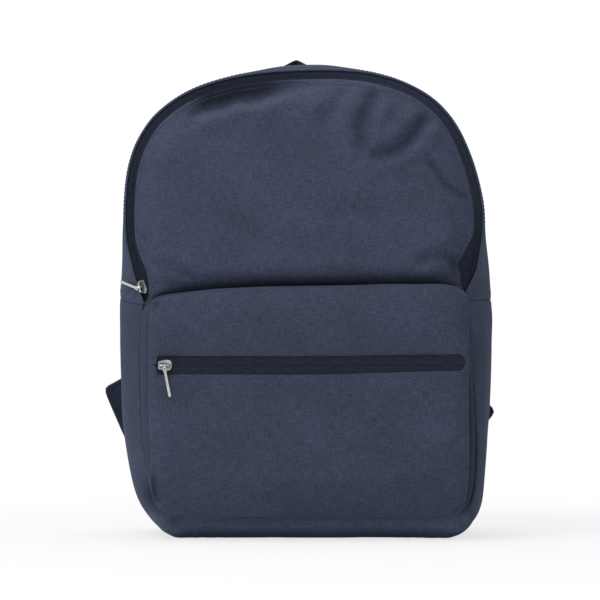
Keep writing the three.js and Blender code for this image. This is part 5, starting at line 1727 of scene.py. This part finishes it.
# front panel: up the left edge, over the top and down the right
nu, nv = P_FLAP.shape[:2]
run = [(4, j) for j in range(nv - 4)]
run += [(i, nv - 5) for i in range(5, nu - 5)]
run += [(nu - 5, j) for j in range(nv - 5, -1, -1)]
run = [(i, j) for i, j in run if P_FLAP[i, j, 2] > 229]
sew_grid("flap", P_FLAP, (0, -1, 0), tuple(np.array(run).T))
# beside the pocket zip
sew_grid("shell", P_POCKET_LOW, (0, -1, 0), np.s_[4:-4, -4])
sew_grid("shell", P_POCKET_UP, (0, -1, 0), np.s_[4:-4, 3])
# topstitch above the cross seams
for i in (3, -4):
    sew_grid("shell", P_TOP, TOP_OUT, np.s_[i, 9:-5])
# back border, all the way round in its channel, and yoke
nu, nv = P_BACK.shape[:2]
i0 = int(np.abs(from_back_edge[: nu // 3, nv // 2] - CHANNEL).argmin())
j0 = int(np.abs(from_back_edge[nu // 2, : nv // 3] - CHANNEL).argmin())
i1, j1 = nu - 1 - i0, nv - 1 - j0
run = [(i0, j) for j in range(j0, j1 + 1)]
run += [(i, j1) for i in range(i0, i1 + 1)]
run += [(i1, j) for j in range(j1, j0 - 1, -1)]
run += [(i, j0) for i in range(i1, i0 - 1, -1)]
sew_grid("shell", P_BACK, (0, 1, 0), tuple(np.array(run).T))
for j in (4, -5):
    sew_grid("shell", P_YOKE, (0, 1, 0), np.s_[3:-3, j])
for body, runs in stitches.items():
    mount(merge("stitching_" + body, runs, M_THREAD), body, "tape")


# ------------------------------------------------------------------ CAD pieces that stay
def cad_finish(node):
    """Material and edge bevel (mm) of a CAD piece."""
    if "slider" in node or "pull" in node or "stop" in node:
        return (M_BODY if node.endswith("slider") or "stop" in node else M_METAL), 0.22
    if node.startswith("ladder_lock"):
        return M_PLASTIC, 0.5
    if node == "base_board":
        return M_BOARD, 0.6
    return (M_FOAM if node == "back_foam" else M_LINING), 0


for node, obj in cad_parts.items():
    if obj.hide_render:
        continue
    mat, bevel = cad_finish(node)
    obj.data.materials.clear()
    obj.data.materials.append(mat)
    obj.data.polygons.foreach_set("use_smooth", [True] * len(obj.data.polygons))
    obj.data.set_sharp_from_angle(angle=math.radians(35))
    if bevel:
        m = obj.modifiers.new("edge", "BEVEL")
        m.width = bevel * MM
        m.segments = 2
        m.limit_method = "ANGLE"
        m.angle_limit = math.radians(38)
        m.harden_normals = True

# ------------------------------------------------------------------ floor
bpy.ops.mesh.primitive_plane_add(size=30, location=(0, 0, -0.0006))
floor = bpy.context.object
floor.name = "floor"
# to the camera the paint glows white, and fully so away from the bag
m = Material("floor_paint")
m.surface(Base_Color=(0.93, 0.93, 0.93), Roughness=0.75)
distance = m.out("VectorMath", {0: m.coords("Object")}, output=1, operation="LENGTH")
far = m.ramp(m.math("MULTIPLY", distance, 0.5), (0.13, 0.0), (0.32, 1.0), interp="EASE")
glow = m.math("MULTIPLY", m.math("MULTIPLY_ADD", far, 0.28, 0.72), m.out("LightPath"))
white = m.out("Emission", {0: (1, 1, 1)})
m.put(m.output.inputs[0], m.out("MixShader", {0: glow, 1: m.bsdf.outputs[0], 2: white}))
floor.data.materials.append(m.mat)

# ------------------------------------------------------------------ world
scene = bpy.context.scene
world = bpy.data.worlds.new("studio")
scene.world = world
g = Graph(world)
up_z = g.split(g.coords("Generated"))[2]
sky = g.add("ValToRGB", {0: g.out("MapRange", {0: up_z, 1: -1.0, 2: 1.0})})  # from -1..1
stops = sky.color_ramp.elements


def paint(stop, position, level):
    stop.position = position
    stop.color = (level * 0.95, level * 0.98, level, 1)


paint(stops[0], 0.0, 0.10)
stops.new(0.48)
for position, level in ((0.62, 0.34), (0.80, 0.85)):
    paint(stops.new(position), position, level)
# the second stop moves to the top end, where the ramp's own white stop stays as well
paint(stops[1], 1.0, 1.35)
lighting = g.out("Background", {0: sky.outputs[0], 1: 0.44})
backdrop = g.out("Background", {0: (1, 1, 1), 1: 1.05})
to_camera = g.out("LightPath", output="Is Camera Ray")
g.add("OutputWorld", {0: g.out("MixShader", {0: to_camera, 1: lighting, 2: backdrop})})


# ------------------------------------------------------------------ lights and camera
def area(name, loc, target, size, power):
    data = bpy.data.lights.new(name, "AREA")
    data.shape = "RECTANGLE"
    data.size, data.size_y = size
    data.energy = power
    light = link_object(name, data)
    light.location = loc
    light.rotation_euler = (Vector(target) - Vector(loc)).to_track_quat("-Z", "Y").to_euler()
    return light


area("key", loc=(-0.95, -1.10, 1.80), target=(0, 0, 0.28), size=(0.8, 0.7), power=18.0)
area("top", loc=(-0.1, 0.05, 1.9), target=(0, 0, 0.2), size=(1.4, 1.0), power=12)
area("fill", loc=(-1.35, -2.0, 0.22), target=(0, 0, 0.08), size=(1.3, 0.45), power=5.0)
low_light = area(
    "low", loc=(-0.1, -1.25, 0.05), target=(0, -0.05, 0.02), size=(1.0, 0.08), power=1.1
)
low_light.visible_camera = False
low_light.visible_glossy = False

CAMERA_DISTANCE = 2.9
VIEW_WIDTH, VIEW_PLANE = 0.51, 0.03  # width seen at this distance in front of y = 0
SENSOR = 36
camera_data = bpy.data.cameras.new("camera")
camera = link_object("camera", camera_data)
camera.location = (-0.0038, -CAMERA_DISTANCE, 0.2015)
camera.rotation_euler = (math.radians(90), 0, 0)
camera_data.sensor_width = SENSOR
camera_data.lens = SENSOR * (CAMERA_DISTANCE - VIEW_PLANE) / VIEW_WIDTH
camera_data.clip_end = 60
scene.camera = camera
scene.view_settings.view_transform = "Standard"
scene.view_settings.look = "None"
